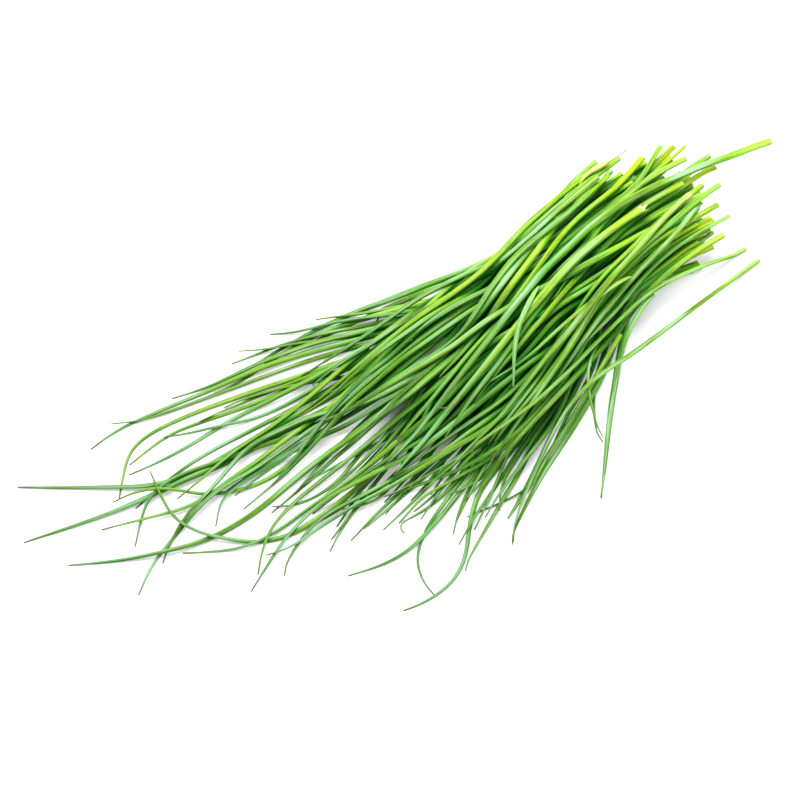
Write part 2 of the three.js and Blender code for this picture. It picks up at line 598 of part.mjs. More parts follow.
// Lays one shoot on the pile and returns its leaves as stations.
function layShoot(stem, blades, draw) {
  const turn = draw() * 2 * Math.PI;
  const mean = blades.reduce((sum, blade) => sum + blade[0], 0) / blades.length;
  const away = blades.length > 1 ? (mean / 2) * (pressed / Math.sin(Math.PI / blades.length)) : 0;
  const leaves = blades.map(([width, ...free], k) => {
    const angle = turn + (2 * Math.PI * k) / blades.length;
    const aside = away * Math.cos(angle);
    const above = away * Math.sin(angle) * squash;
    const points = [];
    for (let i = 0; i < stem.length; i += 2) points.push([stem[i], stem[i + 1] + aside]);
    if (points.length) {
      points[0][0] += 14 * draw() - 7;
      points[0][1] += aside * 0.5;
    }
    for (let i = 0; i < free.length; i += 2) points.push([free[i], free[i + 1]]);
    const path = smoothPath(points);
    const length = path[path.length - 1].along;
    for (const p of path) {
      p.radius = radiusAt(p.along / length, width, blades.length > 1 ? slimBase : 0);
      p.rest = restingHeight(p.x, p.y, p.radius);
    }
    const held = stem.length ? points[0][0] - stem[stem.length - 2] : 0;
    const rings = stem.filter((value, i) => i % 2 === 0 && i > 0);
    return { path, above, aside, held, rings };
  });
  const way = settle(leaves[0], leaves, null);
  for (const leaf of leaves.slice(1)) settle(leaf, leaves, way);
  // The pressed stems ride at one height, so they rise and fall together.
  for (let round = 0; round < 2; round += 1) {
    for (const leaf of leaves) drape(leaf);
    for (const leaf of leaves) {
      for (const p of leaf.path.filter((q) => q.along < leaf.held)) {
        let shared = -Infinity;
        for (const other of leaves) {
          const near = other.path.find((q) => q.x <= p.x) ?? other.path[0];
          if (near.along < other.held + 2) shared = Math.max(shared, near.z - other.above);
        }
        p.lift = shared + leaf.above;
      }
    }
    for (const leaf of leaves) {
      for (const p of leaf.path) p.rest = Math.max(p.rest, p.lift ?? 0);
    }
  }
  // Past the stem each leaf lies over the ones before it.
  return leaves.map((leaf) => {
    if (leaf !== leaves[0]) settle(leaf, leaves, () => 0);
    for (const p of leaf.path) p.rest = Math.max(p.rest, p.lift ?? 0);
    drape(leaf);
    const stations = thin(leaf);
    clearBelow(stations);
    layDown(chordPoints(stations).filter((p) => p.along > leaf.held + parting));
    return stations;
  });
}

const bunch = new THREE.Group();
bunch.position.set(-footprintMiddle[0], -footprintMiddle[1], 0);
const draw = drawsFrom(7);
const count = {};
for (const [tone, stem, blades] of shoots) {
  const leaves = layShoot(stem, blades, draw);
  for (const stations of leaves) layDown(chordPoints(stations));
  const kind = blades.length > 1 ? 'shoot' : 'leaf';
  const name = `${tone}_${kind}`;
  count[name] = (count[name] ?? 0) + 1;
  const material = new THREE.MeshStandardMaterial({
    color: tones[tone],
    roughness: 0.45,
    metalness: 0,
  });
  const mesh = new THREE.Mesh(fuse(leaves.map(tube)), material);
  mesh.name = `${name}_${count[name]}`;
  bunch.add(mesh);
}

export default bunch;
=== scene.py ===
import math
import bpy
import numpy as np
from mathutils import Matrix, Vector
from mathutils.bvhtree import BVHTree


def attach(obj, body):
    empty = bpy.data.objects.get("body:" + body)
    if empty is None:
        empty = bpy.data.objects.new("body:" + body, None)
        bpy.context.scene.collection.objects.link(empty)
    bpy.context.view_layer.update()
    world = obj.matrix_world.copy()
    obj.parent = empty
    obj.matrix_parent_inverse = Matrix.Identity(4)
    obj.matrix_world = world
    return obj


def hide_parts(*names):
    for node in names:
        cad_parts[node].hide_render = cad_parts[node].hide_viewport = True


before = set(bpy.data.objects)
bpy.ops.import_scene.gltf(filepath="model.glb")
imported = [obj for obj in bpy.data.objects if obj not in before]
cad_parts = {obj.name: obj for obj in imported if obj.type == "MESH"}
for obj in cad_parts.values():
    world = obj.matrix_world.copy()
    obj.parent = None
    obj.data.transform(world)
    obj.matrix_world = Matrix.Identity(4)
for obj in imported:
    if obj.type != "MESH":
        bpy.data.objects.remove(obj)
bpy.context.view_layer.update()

millimetre = 0.001


# The way from the table's middle to a place seen at these angles, in degrees.
def wayTo(azimuth, elevation):
    turn, rise = math.radians(azimuth), math.radians(elevation)
    return Vector((
        math.sin(turn) * math.cos(rise),
        -math.cos(turn) * math.cos(rise),
        math.sin(rise),
    ))


# Adds an object; a camera or lamp looks back along the way it was put out.
def addObject(name, data, spot=(0.0, 0.0, 0.0), away=None):
    thing = bpy.data.objects.new(name, data)
    thing.location = spot
    if away is not None:
        thing.rotation_euler = away.to_track_quat("Z", "Y").to_euler()
    bpy.context.scene.collection.objects.link(thing)
    return thing


cameraPlace = {
    "target": (-20.28, 8.03, 0.0),  # millimetres
    "azimuth": -40.0,  # degrees round from the front
    "elevation": 60.0,
    "distance": 778.0,
    "lens": 100.0,
}


def makeCamera():
    place = cameraPlace
    data = bpy.data.cameras.new("camera")
    data.lens = place["lens"]
    away = wayTo(place["azimuth"], place["elevation"])
    spot = (Vector(place["target"]) + away * place["distance"]) * millimetre
    bpy.context.scene.camera = addObject("camera", data, spot, away)
    print("camera placed")


# The leaves in the order they are laid down, bottom first. Each row is one
# shoot: its tone, the x, y points its stems share from the cut end on, and its
# leaves, each a width and the x, y points it follows alone to its tip.
shoots = [
  ["deep", [], [[2.7, 98,35.5, 54.5,30.5, 36.5,33.5, 11.5,40.5, -19,48.5, -52,52.5]]],
  ["deep", [], [[2.5, 98.5,31.5, 78,30.5, 47.5,29.5, 14,38, -11,43, -37.5,48]]],
  ["deep", [], [[2.4, 107,13.5, 92.5,13, 76,11, 58,8, 22.5,0, 6,-4, -22,-9.5]]],
  ["deep", [], [[2.4, 104.5,1.5, 73.5,-1, 58,-3, 41,-6.5, 8,-13, -20,-20.5]]],
  ["deep", [97,-19.5, 87,-15, 76,-13.5], [
    [2.5, 62,-22, 48,-33, 32,-46.5, 16,-61, 10,-66],
    [1.8, 58,-20, 47,-26, 37,-33, 30,-41, 26.5,-46, 25.5,-50],
    [2.5, 58,-23, 42,-32, 22,-40, 0,-47.5, -15,-54, -21,-57, -24.5,-60.2],
    [2.2, 58,-21.5, 45.5,-25.5, 32.5,-29.5, 20,-33, 7.5,-36.5, -4.5,-40, -15,-43]]],
  ["fresh", [106,-15, 90,-12, 76,-12, 62,-16], [
    [2.2, 40,-28, 15,-37, 0,-43, -10,-47, -20,-50.8],
    [1.6, 45,-27, 22,-35, 8,-42, -3,-47, -12,-47.3, -22,-44.6, -30,-42.3],
    [2.4, 40,-25, 15,-34, -2,-40, -20,-46, -33,-50.8, -40,-53.7, -44,-56.3],
    [2.2, 38.5,-27.5, 25,-31.5, 10.5,-35.5, -2.5,-38.5]]],
  ["deep", [112,-10, 92,-8, 76,-8, 56,-12], [
    [2.6, 25,-26, 0,-33, -20,-37.5, -31,-44.5, -38,-51, -45,-55.7, -54,-57.6, -62,-56.8, -69,-54.7],
    [2.2, 25,-27.5, 0,-34.5, -12,-38.5, -27,-43.5, -39.5,-48.5],
    [2.4, 30,-24, 0,-30.5, -20,-34.5, -30,-38.5, -38,-44],
    [2.2, 24,-29, 6.5,-33, -9,-38.5, -21,-43, -31.5,-47]]],
  ["fresh", [108,-5, 90,-4, 76,-4, 52,-9], [
    [2.4, 20,-20, -10,-28, -30,-32.5, -42,-36, -50,-40, -55,-45, -57,-50.5, -57.5,-56.5],
    [2.4, 20,-22, -10,-30, -30,-35, -42,-37.7, -52,-39, -62,-37.8, -75,-33],
    [2.4, 20,-18, -5,-26, -20,-31, -34,-32.6, -44,-31.2, -48.5,-30.2, -49.8,-31.3, -49.5,-32.8],
    [2.4, 24,-13, 4,-18, -16,-22, -34,-27]]],
  ["blue", [118,-1, 96,0, 76,0.5, 50,-5], [
    [2.3, 20,-16, -5,-25, -20,-28.5, -32,-30.4, -42.5,-30.5],
    [2.5, 22,-14, 0,-21, -14,-24.5, -27,-26.5],
    [2.5, 20,-12, -5,-19.5, -25,-24, -40.5,-25.6],
    [2.4, 22,-5, 2,-9, -18,-13, -38,-17]]],
  ["deep", [104,-13, 88,-11, 72,-11, 46,-15], [
    [2.4, 22,-26, 0,-33, -14,-39, -22,-47],
    [2.4, 22,-27.5, 4,-34, -8,-40.5],
    [2.4, 22,-24.5, -2,-30.5, -18,-35.5, -30,-33.5],
    [2.2, 20,-28, 0,-35, -15.5,-40, -27,-45]]],
  ["bright", [109,31, 92,28.5, 76,26.5, 50,25], [
    [2.1, 28,30, 5,38.5, -8,45, -20,52.5],
    [2, 26,28, 10,34.5, 2,38, -2,40, -5.5,37.8],
    [2.5, 24,30, 2,39, -22,46.5, -40,48.3, -55,48.5, -67.5,51]]],
  ["fresh", [103,28, 88,26.5, 75,25, 48,24], [
    [2.2, 20,31.5, -5,40.5, -25,48, -40,53.5, -54,57.5],
    [2, 20,30, -10,40.5, -30,49.5, -41,54.5, -48.7,60.3],
    [2.2, 22,32, 0,40, -17,47.5, -28,52, -36.5,57.7]]],
  ["fresh", [116,24, 94,23.5, 76,22.5, 46,22.5], [
    [2.6, 18,30, -5,38.5, -30,46.5, -55,51.5, -75,56, -90,59.5, -102,61.7, -112.5,61.5],
    [2.2, 18,29, -5,36.5, -30,44, -60,51, -83,57, -93,60, -101,65.3],
    [2.6, 20,31, -2,39.5, -28,48, -50,52.8, -66,55.3, -79,59.3]]],
  ["bright", [124,20, 96,20, 77,19.5, 45,20.5], [
    [2.6, 18,27, -10,35, -35,40, -60,46, -80,51, -95,53.3, -103,52, -109,47, -116.5,39.7],
    [2.4, 18,28, -10,33, -35,37, -60,40.8, -75,45, -88,48.6, -106,48],
    [2.2, 18,27, -10,31.5, -35,36, -55,40.5, -77.5,44.3],
    [2.3, 15,27, -6.5,32.5, -24,34, -38.5,38, -53.5,42, -67,45]]],
  ["blue", [117,15, 96,16, 77,16, 45,17.5], [
    [2.5, 15,24.5, -10,29, -40,34.5, -65,40, -85,41, -97,42.2, -108.5,44.6],
    [2.4, 15,23.5, -10,27.5, -40,31.5, -62,35.5, -78,42, -90.5,48.5],
    [2.5, 15,22.5, -10,26, -40,30, -65,33, -85,35.3, -100,35.2, -114.5,33.5]]],
  ["deep", [122,8, 97,10, 77,11, 46,11], [
    [2.4, 15,9, -15,8, -45,5, -66,3, -80,2],
    [2.4, 15,7, -15,5, -38,1.5, -55,-3, -67,-2.5, -73,-0.5, -78.5,3.5],
    [2.5, 15,10, -15,9.5, -42,7, -58,4, -69,1.5],
    [2.4, 20,5, -6,1, -30,-2, -50,-5]]],
  ["blue", [115,3, 97,5, 77,6, 46,4], [
    [2.5, 15,-1, -15,-5.5, -45,-10, -58,-12.5, -70,-11.5],
    [2.5, 15,0.5, -15,-3.5, -35,-9.5, -52,-13.5, -63,-17, -74,-22],
    [2.4, 15,-3, -15,-8, -40,-13, -58,-15.5, -71,-19],
    [2.3, 15,2, -5.5,1, -24.5,0.5, -39.5,1.5, -53.5,3.5, -65.5,4.5]]],
  ["fresh", [111,-8, 92,-6.5, 74,-7, 46,-11], [
    [2.3, 18,-20, -6,-26, -28,-28.5, -43,-33],
    [2.3, 18,-21.5, -4,-28.5, -18,-33.5, -34,-40],
    [2.3, 20,-18.5, -2,-23.5, -26,-24.5, -55,-27]]],
  ["deep", [108,5, 90,6.5, 72,7, 44,3.5], [
    [2.4, 16,-3, -12,-8, -36,-11, -54,-14, -66,-17.5],
    [2.4, 16,-4.5, -10,-10, -34,-15.5, -50,-18, -61,-12.5],
    [2.3, 16,-1.5, -10,-5.5, -32,-7.5, -52,-7, -68,-6],
    [2.3, 12,-4, -8,-7, -24.5,-7.5, -40,-7.5, -52.5,-6.5, -63.5,-6.5]]],
  ["deep", [104,12, 88,14, 72,14.5, 42,16.5], [
    [2.9, 10,20, -20,24, -55,28, -80,29.5, -95,32, -105,36, -120,48, -140.5,65.5],
    [3, 10,19.5, -20,23, -55,26.5, -80,29, -97,32.5, -110,35, -130,40.2, -151,47],
    [2.4, 10,18.5, -20,21.5, -55,25, -80,29.5, -98,33.8, -109,33, -116,28.5, -123.5,22],
    [2.4, -3,15, -20,16.5, -37.5,17, -55,17.5, -68,17.5, -78.5,18.5, -88.5,18.5]]],
  ["bright", [110,18, 90,19, 72,20, 42,20], [
    [2.4, 10,17, -20,14.5, -50,12.3, -70,12, -83,15.4, -94,22.2, -103,31.5, -110,36.3, -119,39.5],
    [2.4, 10,19, -25,21.5, -55,25, -80,27.4, -102,26.5],
    [2.5, 10,18, -25,19, -55,22, -78,22.3, -95,21.3, -108,25, -118,28.7, -128,34]]],
  ["fresh", [108,-4, 92,-3, 72,-2.5, 42,-4], [
    [2.3, 12,-11.5, -15,-17, -42,-20, -55,-21.5, -66,-23.5],
    [2.3, 12,-13, -15,-19, -38,-21, -60,-22.5],
    [2.3, 12,-10, -15,-15, -35,-20, -51,-24],
    [2.3, 20,-12, 4.5,-13.5, -10,-14.5, -24.5,-16, -37.5,-18, -48,-19.5]]],
  ["blue", [117,8, 92,9, 72,9.5, 42,10.5], [
    [2.4, 10,14, -25,17.5, -55,20, -75,20, -93,20.3, -108,17.3, -122,13, -133,6.5],
    [2.7, 10,15, -25,20.5, -50,27.3, -68,28.3, -80,25.3, -92,20.8, -104,17.6, -113,13.3, -119,9.3],
    [2.3, 10,13, -25,16, -55,18.7, -78,20.5, -92,19.3, -100,12.8]]],
  ["deep", [119,13, 95,13, 72,13.5, 40,11], [
    [2.9, 10,8, -20,8.5, -45,9.8, -66,8.2, -84,6.2, -100,7.3, -115,12, -130,20.5, -144.5,30.3],
    [2.3, 10,9.5, -20,10.3, -50,10.3, -72,10.8, -86.5,10.2],
    [2.4, 10,11, -20,12.7, -48,14, -62,15.3, -74,17, -86,17],
    [2.3, -9.5,12.5, -27.5,13, -45,13.5, -60.5,13.5, -73.5,13.5]]],
  ["fresh", [106,-1, 88,0, 70,0.5, 40,1], [
    [2.5, 10,-2, -20,-5, -45,-8.5, -65,-10, -80,-8.8, -90,-4.3, -98,3.5, -104,11, -107.3,20,
      -106,29, -103,39.5],
    [2.2, 10,-0.5, -20,-2, -50,-2.5, -70,-3, -84,-4, -94,-2.5, -103,3, -112,9.7],
    [2.4, 10,1, -20,0, -50,-1.5, -70,-1.5, -84,-4.3, -91,-8.3, -97.5,-13.7],
    [2.3, 5,-2.5, -15.5,-5, -31.5,-5.5, -46,-5.5, -58.5,-5.5, -69.5,-5.5]]],
  ["blue", [109,-7, 92,-6.5, 70,-8, 40,-9.5], [
    [2.4, 10,-8, -20,-6.5, -50,-4, -68,-3.5, -84,-8, -94,-12.3, -103.5,-16.5],
    [2.4, 10,-10, -20,-9, -50,-7, -70,-7.3, -83,-12, -88,-14.7, -92,-18.7],
    [2.3, 10,-11.5, -20,-10.5, -50,-9.8, -72,-10.5, -84,-11.5, -91.5,-9.5],
    [2.3, 13,-12, -2,-13.5, -17,-14.5, -30,-16, -41.5,-17.5]]],
  ["bright", [109,-13, 92,-11, 72,-11, 48,-15], [
    [2.3, 20,-22.5, -2,-28, -25,-27.5, -38,-26.3, -49.5,-28.3],
    [2.3, 20,-21, -2,-24.5, -22,-22.5, -46.5,-15.5],
    [2, 25,-21, 8,-24, -12,-23, -37,-24]]],
  # leaves lying singly on top
  ["deep", [], [[2.4, 105.5,-12, 86,-12, 78,-13, 57,-17, 23.5,-23.5, -9.5,-28.5]]],
  ["fresh", [], [[2.5, 112,-15.5, 98,-13.5, 88.5,-13, 78,-14, 66.5,-16.5, 43,-23.5, 11,-29.5,
    -27.5,-36]]],
  ["deep", [], [[1.7, 118,-15.5, 94.5,-13.5, 74.5,-14, 51.5,-18, 18,-24]]],
  ["bright", [], [[2.3, 116.5,-11, 101.5,-11, 82.5,-12.5, 53.5,-18, 32.5,-23, -7.5,-29.5]]],
  ["blue", [], [[2.3, 111.5,-8, 93,-13, 76.5,-15, 45,-22.5, 13.5,-29.5]]],
  ["fresh", [], [[2.4, 121,-7, 108.5,-8, 65,-17, 46.5,-21.5, 15,-28.5, -12,-33]]],
  ["blue", [], [[1.9, 74,-19, 62.5,-23, 57,-26, 38.5,-40, 10,-66]]],
  ["fresh", [], [[2, 56,-24.5, 23,-38, 3.5,-44, -3.5,-47, -20,-51.5]]],
  ["deep", [], [[1.2, 47.5,-26, 41,-28.5, 35,-32.5, 31.5,-36.5, 26,-46, 25,-50.5]]],
  ["fresh", [], [[1.7, 119,-24.5, 95.5,-23.5, 66,-23, 55.5,-24, 24.5,-28, 7.5,-29.5, -22.5,-26.5,
    -30.5,-24, -47,-20]]],
  ["blue", [], [[1.9, 119,-31, 99,-30, 64.5,-33, 37,-34, 28,-35, 21,-36.5, 7,-41.5, -13.5,-51.5,
    -19.5,-55, -24,-59.5]]],
  ["deep", [], [[2.3, 133.5,11, 110.5,10.5, 92,12, 81.5,11.5, 71.5,9.5, 48,3.5]]],
  ["bright", [], [[2.4, 130.5,4, 123,5, 107,4.5, 69,1, 26,-9.5, -3.5,-15]]],
  ["fresh", [], [[2.6, 114,4.5, 71,3.5, 61.5,2.5, 20.5,-9.5, -19.5,-18]]],
  ["fresh", [], [[2.2, 120.5,21.5, 100.5,14.5, 85,11, 55,2, 34.5,-3]]],
  ["blue", [], [[2.3, 118.5,18.5, 93,12.5, 63,5.5, 44,2]]],
  ["pale", [], [[1.4, 127,17.5, 111.5,15, 94,13.5]]],
  ["bright", [], [[2.3, 122,12, 108,13.5, 99.5,13.5, 81.5,10.5, 40.5,-4.5]]],
  ["bright", [], [[2.5, 113.5,25.5, 96.5,20.5, 64,14, 37.5,7, 12.5,1, -14,-4.5, -31.5,-7]]],
  ["blue", [], [[2.5, 102.5,28.5, 83.5,23.5, 49,16, 23,9.5, 0,4.5, -7.5,3.5, -40.5,2.5]]],
  ["bright", [], [[3, 94.5,30.5, 88,28.5, 57.5,16.5, 34,9.5, 9.5,4, -7.5,2]]],
  ["deep", [], [[2.4, 95.5,28, 65.5,19, 42,15.5, 16.5,7.5, 9,5.5, -6.5,6, -14.5,7]]],
  ["fresh", [], [[2.4, 104,29, 71,24.5, 48.5,23.5, 23.5,19.5, -3,19, -21.5,21.5, -51,22.5]]],
  ["blue", [], [[2.4, 98.5,30.5, 74.5,29.5, 45.5,26.5, 37,26.5, 28.5,27.5, -3.5,33.5, -20,35.5,
    -38.5,37]]],
  ["blue", [], [[2.3, 90,25, 54,21.5, 44.5,22, 7.5,25.5, -29,29.5, -39,29.5]]],
  ["bright", [], [[2.6, 99,28.5, 75,27.5, 41.5,22, 34,21.5, 13,23.5, -30.5,25.5, -48.5,25]]],
  ["fresh", [], [[2.8, 94,1.5, 72.5,0, 52,0, 20,4.5, 3,5.5, -13,8, -46.5,16]]],
  ["blue", [], [[3.1, 155.5,1.5, 131,4.5, 102.5,8, 60,8.5, 29,1, -3.5,-6, -41.5,-12]]],
  ["pale", [], [[3, 93,5, 82.5,5, 60.5,2, 40,-2.5, 9,-9, -12,-11.5, -40.5,-16.5]]],
  ["bright", [], [[1.8, 99,-4.5, 78,-8.5, 61.5,-9.5, 54,-10.5, 26,-17.5]]],
  ["pale", [], [[1.8, 70,-18, 59,-18, 28,-15.5, 3.5,-13.5]]],
  ["fresh", [], [[2.4, 116.5,-1, 102.5,-4.5, 73.5,-15.5, 56,-20, 39.5,-22, 22.5,-22.5, -3.5,-26,
    -26.5,-28.5]]],
  ["pale", [], [[1.9, 40.5,2, 20,-8.5, 7,-21]]],
]

# How the leaves are laid, in millimetres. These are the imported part's own
# values, so every leaf comes out where its solid lies.
laying = {
    "footprintMiddle": (2.28, -0.03),
    "fineness": 24,  # points worked out for each given one
    "step": 1.0,  # spacing of the points along a leaf
    "slimBase": 0.18,  # how much slimmer a shoot's leaves start
    "slimTo": 0.45,  # share of the length where that ends
    "taper": 0.12,  # even narrowing towards the tip
    "tipShare": 0.28,  # a tip's width as a share of the leaf's width
    "tipPower": 3.2,  # how late the rest of the narrowing comes
    "squash": 0.76,  # leaves press each other a little flat
    "sides": 5,  # faces round a solid leaf
    "clearance": 0.12,  # air kept round every leaf
    "pressed": 0.66,  # spacing of the stems in one shoot, in widths
    "splay": 0.5,  # and how much wider it is at the cut
    "staggered": 14.0,  # how unevenly the leaves of a shoot are cut
    "parting": 6.0,  # past the shared stem, where leaves stop touching
    "stemBend": 65.0,  # tightest downward bend of a stem, as a radius
    "tipBend": 45.0,
    "drapeEasing": 3,  # how gently its height changes
    "chordError": 0.45,  # how far a straight stretch may leave the curve
    "slideReach": 8.0,  # how far a leaf rolls aside into a hollow
    "shiftSteps": 16,  # tried shifts to each side
    "postEvery": 12,  # points between two tried places
    "easing": 12,  # how gently a leaf rolls aside
    "edgeHold": 1.0,  # cost of leaving the bunch's flanks
    "lean": 0.5,  # how much the flanks lean in as they rise
    "tipStray": 0.25,  # extra cost of a tip leaving its line
    "shootStray": 0.01,  # cost of a shoot rolling off its line
    "leafStray": 0.4,
    "partCost": 1000.0,  # cost of the stems in one shoot parting
    "swerveCost": 0.1,
    "bendCost": 0.5,
    # the front and back flank along x, from the tips on
    "flanks": [
        (-30, -60, 60), (3, -50, 44), (26, -40, 39), (47, -24, 33), (61, -17, 33),
        (87, -16, 35), (100, -18, 35), (107, -20, 35), (122, -12, 34), (130, -4, 30),
    ],
    "cell": 0.5,  # grid of the height map the leaves are laid on
    "mapStart": (-170.0, -90.0),
    "mapSize": (680, 360),
}
stationKeys = ("x", "y", "z", "along", "radius")
topOf = np.zeros(laying["mapSize"])
flatUnder = laying["squash"] * math.cos(math.pi / laying["sides"])


def drawsFrom(state, multiplier=16807, modulus=2147483647):
    while True:
        state = (state * multiplier) % modulus
        yield state / modulus


def smoothstep(value, low, high):
    t = np.clip((value - low) / (high - low), 0.0, 1.0)
    return t * t * (3.0 - 2.0 * t)


# A bell-shaped run of weights, out to three times its spread.
def bell(spread):
    reach = np.arange(-3 * spread, 3 * spread + 1)
    return reach, np.exp(-reach ** 2 / (2 * spread * spread))


def pairs(values):
    return [values[i:i + 2] for i in range(0, len(values), 2)]


# Evenly spaced points on a centripetal Catmull-Rom curve through the points.
def smoothPath(points):
    knots = np.array(points, float)
    count = len(knots)
    ends = np.vstack([2 * knots[0] - knots[1], knots, 2 * knots[-1] - knots[-2]])
    gaps = np.power(((ends[1:] - ends[:-1]) ** 2).sum(1), 0.25)
    place = np.linspace(0.0, 1.0, laying["fineness"] * count + 1) * (count - 1)

    def curveAt(place):
        i = np.minimum(np.floor(place).astype(int), count - 2)
        w = (place - i)[:, None]
        p0, p1, p2, p3 = ends[i], ends[i + 1], ends[i + 2], ends[i + 3]
        d0, d1, d2 = gaps[i][:, None], gaps[i + 1][:, None], gaps[i + 2][:, None]
        t1 = ((p1 - p0) / d0 - (p2 - p0) / (d0 + d1) + (p2 - p1) / d1) * d1
        t2 = ((p2 - p1) / d1 - (p3 - p1) / (d1 + d2) + (p3 - p2) / d2) * d1
        cube = 2 * p1 - 2 * p2 + t1 + t2
        square = -3 * p1 + 3 * p2 - 2 * t1 - t2
        return p1 + t1 * w + square * w * w + cube * w * w * w

    fine = curveAt(place)
    run = np.concatenate([[0.0], np.cumsum(np.hypot(*(fine[1:] - fine[:-1]).T))])
    length = run[-1]
    steps = max(2, math.floor(length / laying["step"] + 0.5))
    share = np.arange(steps + 1) / steps
    spaced = curveAt(np.interp(share * length, run, place))
    return spaced[:, 0], spaced[:, 1], length * share


def radiusAt(share, width, slimness):
    base = 1 - slimness * (1 - smoothstep(share, 0, laying["slimTo"])) - laying["taper"] * share
    narrowing = 1 - laying["taper"] - laying["tipShare"]
    return (width / 2) * (base - narrowing * share ** laying["tipPower"])


# The map cells near each point, with the square of how far a round leaf would
# rise there: below zero is beyond its flank.
def underneath(x, y, radius):
    cell, (startX, startY) = laying["cell"], laying["mapStart"]
    reach = radius + laying["clearance"]
    width = math.ceil(np.max(reach) / cell) + 1
    baseX = np.floor((x - startX) / cell).astype(int)
    baseY = np.floor((y - startY) / cell).astype(int)
    for di in range(-width, width + 1):
        dx = startX + (baseX + di + 0.5) * cell - x
        for dj in range(-width, width + 1):
            dy = startY + (baseY + dj + 0.5) * cell - y
            left = reach * reach - dx * dx - dy * dy
            yield baseX + di, baseY + dj, left


# The lowest a leaf's middle can be at each point.
def restingHeight(x, y, radius):
    height = radius * flatUnder + 0 * x
    for i, j, left in underneath(x, y, radius):
        inside = left > 0
        if inside.any():
            top = topOf[i, j]
            rise = laying["squash"] * np.sqrt(np.where(inside, left, 0.0))
            height = np.where(inside & (top > 0), np.maximum(height, top + rise), height)
    return height


def layDown(points, chosen=slice(None)):
    x, y, z, radius = (points[key][chosen] for key in ("x", "y", "z", "radius"))
    for i, j, left in underneath(x, y, radius):
        inside = left > 0
        rise = laying["squash"] * np.sqrt(left[inside])
        np.maximum.at(topOf, (i[inside], j[inside]), z[inside] + rise)


# Lifts a leaf over what it crosses: a stiff blade, bending down gently.
def drape(leaf):
    along = leaf["along"]
    bend = np.interp(along / along[-1], (0, 1), (laying["stemBend"], laying["tipBend"]))
    apart = (along[:, None] - along) ** 2
    raised = (leaf["rest"] - apart / (2 * bend[:, None])).max(1)
    reach, weights = bell(laying["drapeEasing"])
    padded = np.pad(raised, reach[-1], "reflect", reflect_type="odd")
    eased = np.convolve(padded, weights, "valid") / weights.sum()
    leaf["z"] = np.maximum(eased, leaf["radius"] * flatUnder)


# How far a point lies outside the bunch, whose flanks lean in as they rise.
def outside(x, y, z):
    along, front, back = zip(*laying["flanks"])
    front = np.interp(x, along, front) + laying["lean"] * z
    back = np.interp(x, along, back) - laying["lean"] * z
    return np.maximum(0.0, np.maximum(front - y, y - back))


# The run of shifts with the least cost: at each post its own, and between the
# posts that of swerving and, more, of bending.
def cheapestRun(heights, shifts):
    swerve = laying["swerveCost"] * (shifts - shifts[:, None]) ** 2
    costs = heights[0][:, None] + heights[1] + swerve
    choices = []
    for here in heights[2:]:
        best = np.full(costs.shape, np.inf)
        origin = np.zeros(costs.shape, int)
        for j, shift in enumerate(shifts):
            bend = shifts - 2 * shifts[:, None] + shift
            total = costs[j][:, None] + laying["bendCost"] * bend * bend
            better = total < best - 1e-9
            best = np.where(better, total, best)
            origin = np.where(better, j, origin)
        costs = best + here + swerve
        choices.append(origin)
    k, l = np.unravel_index(np.argmin(costs), costs.shape)
    chosen = [shifts[l], shifts[k]]
    for origin in reversed(choices):
        k, l = origin[k, l], k
        chosen.append(shifts[k])
    return np.array(chosen[::-1])


# Rolls a leaf sideways into the hollows near its line, or along the way that
# the first leaf of its shoot took.
def settle(leaf, mates, follow):
    x, y, along = leaf["x"], leaf["y"], leaf["along"]
    count = len(x)
    every, steps = laying["postEvery"], laying["shiftSteps"]
    stray = laying["shootStray"] if len(mates) > 1 else laying["leafStray"]
    posts = list(range(0, count, every))
    shifts = laying["slideReach"] * np.arange(-steps, steps + 1) / steps
    before, after = np.clip(np.arange(count) + [[-2], [2]], 0, count - 1)
    runX, runY = x[after] - x[before], y[after] - y[before]
    run = np.hypot(runX, runY)
    sideX, sideY = -runY / run, runX / run

    def lyingCost(which, mate):
        aside = shifts + (mate["aside"] - leaf["aside"])
        atX = x[which, None] + aside * sideX[which, None]
        atY = y[which, None] + aside * sideY[which, None]
        high = restingHeight(atX, atY, leaf["radius"][which, None])
        astray = outside(atX, atY, high) - outside(x[which], y[which], 0.0)[:, None]
        held = laying["edgeHold"] * np.maximum(0.0, astray) ** 2
        return high + held + leaf["above"] - mate["above"]

    heights = []
    for post in posts:
        together = along[post] < leaf["held"] + laying["parting"]
        if together and follow is not None:
            heights.append(laying["partCost"] * np.abs(shifts - follow(x[post])))
            continue
        which = np.arange(max(post - every // 2, 0), min(post + every // 2, count))
        tried = [lyingCost(which, mate) for mate in (mates if together else [leaf])]
        strayCost = stray + laying["tipStray"] * (along[post] / along[-1]) ** 6
        lying = np.maximum.reduce(tried).sum(0) / len(which)
        heights.append(lying + strayCost * shifts * shifts)
    chosen = cheapestRun(heights, shifts)
    reach, weights = bell(laying["easing"])
    places = np.clip((np.arange(count)[:, None] + reach) / every, 0, len(posts) - 1)
    eased = (np.interp(places, np.arange(len(posts)), chosen) * weights).sum(1) / weights.sum()
    leaf["x"] = x + sideX * eased
    leaf["y"] = y + sideY * eased
    leaf["rest"] = restingHeight(leaf["x"], leaf["y"], leaf["radius"])

    def wayAt(at):
        passed = [n for n, post in enumerate(posts) if leaf["x"][post] <= at]
        return chosen[passed[0] if passed else len(posts) - 1]

    return wayAt


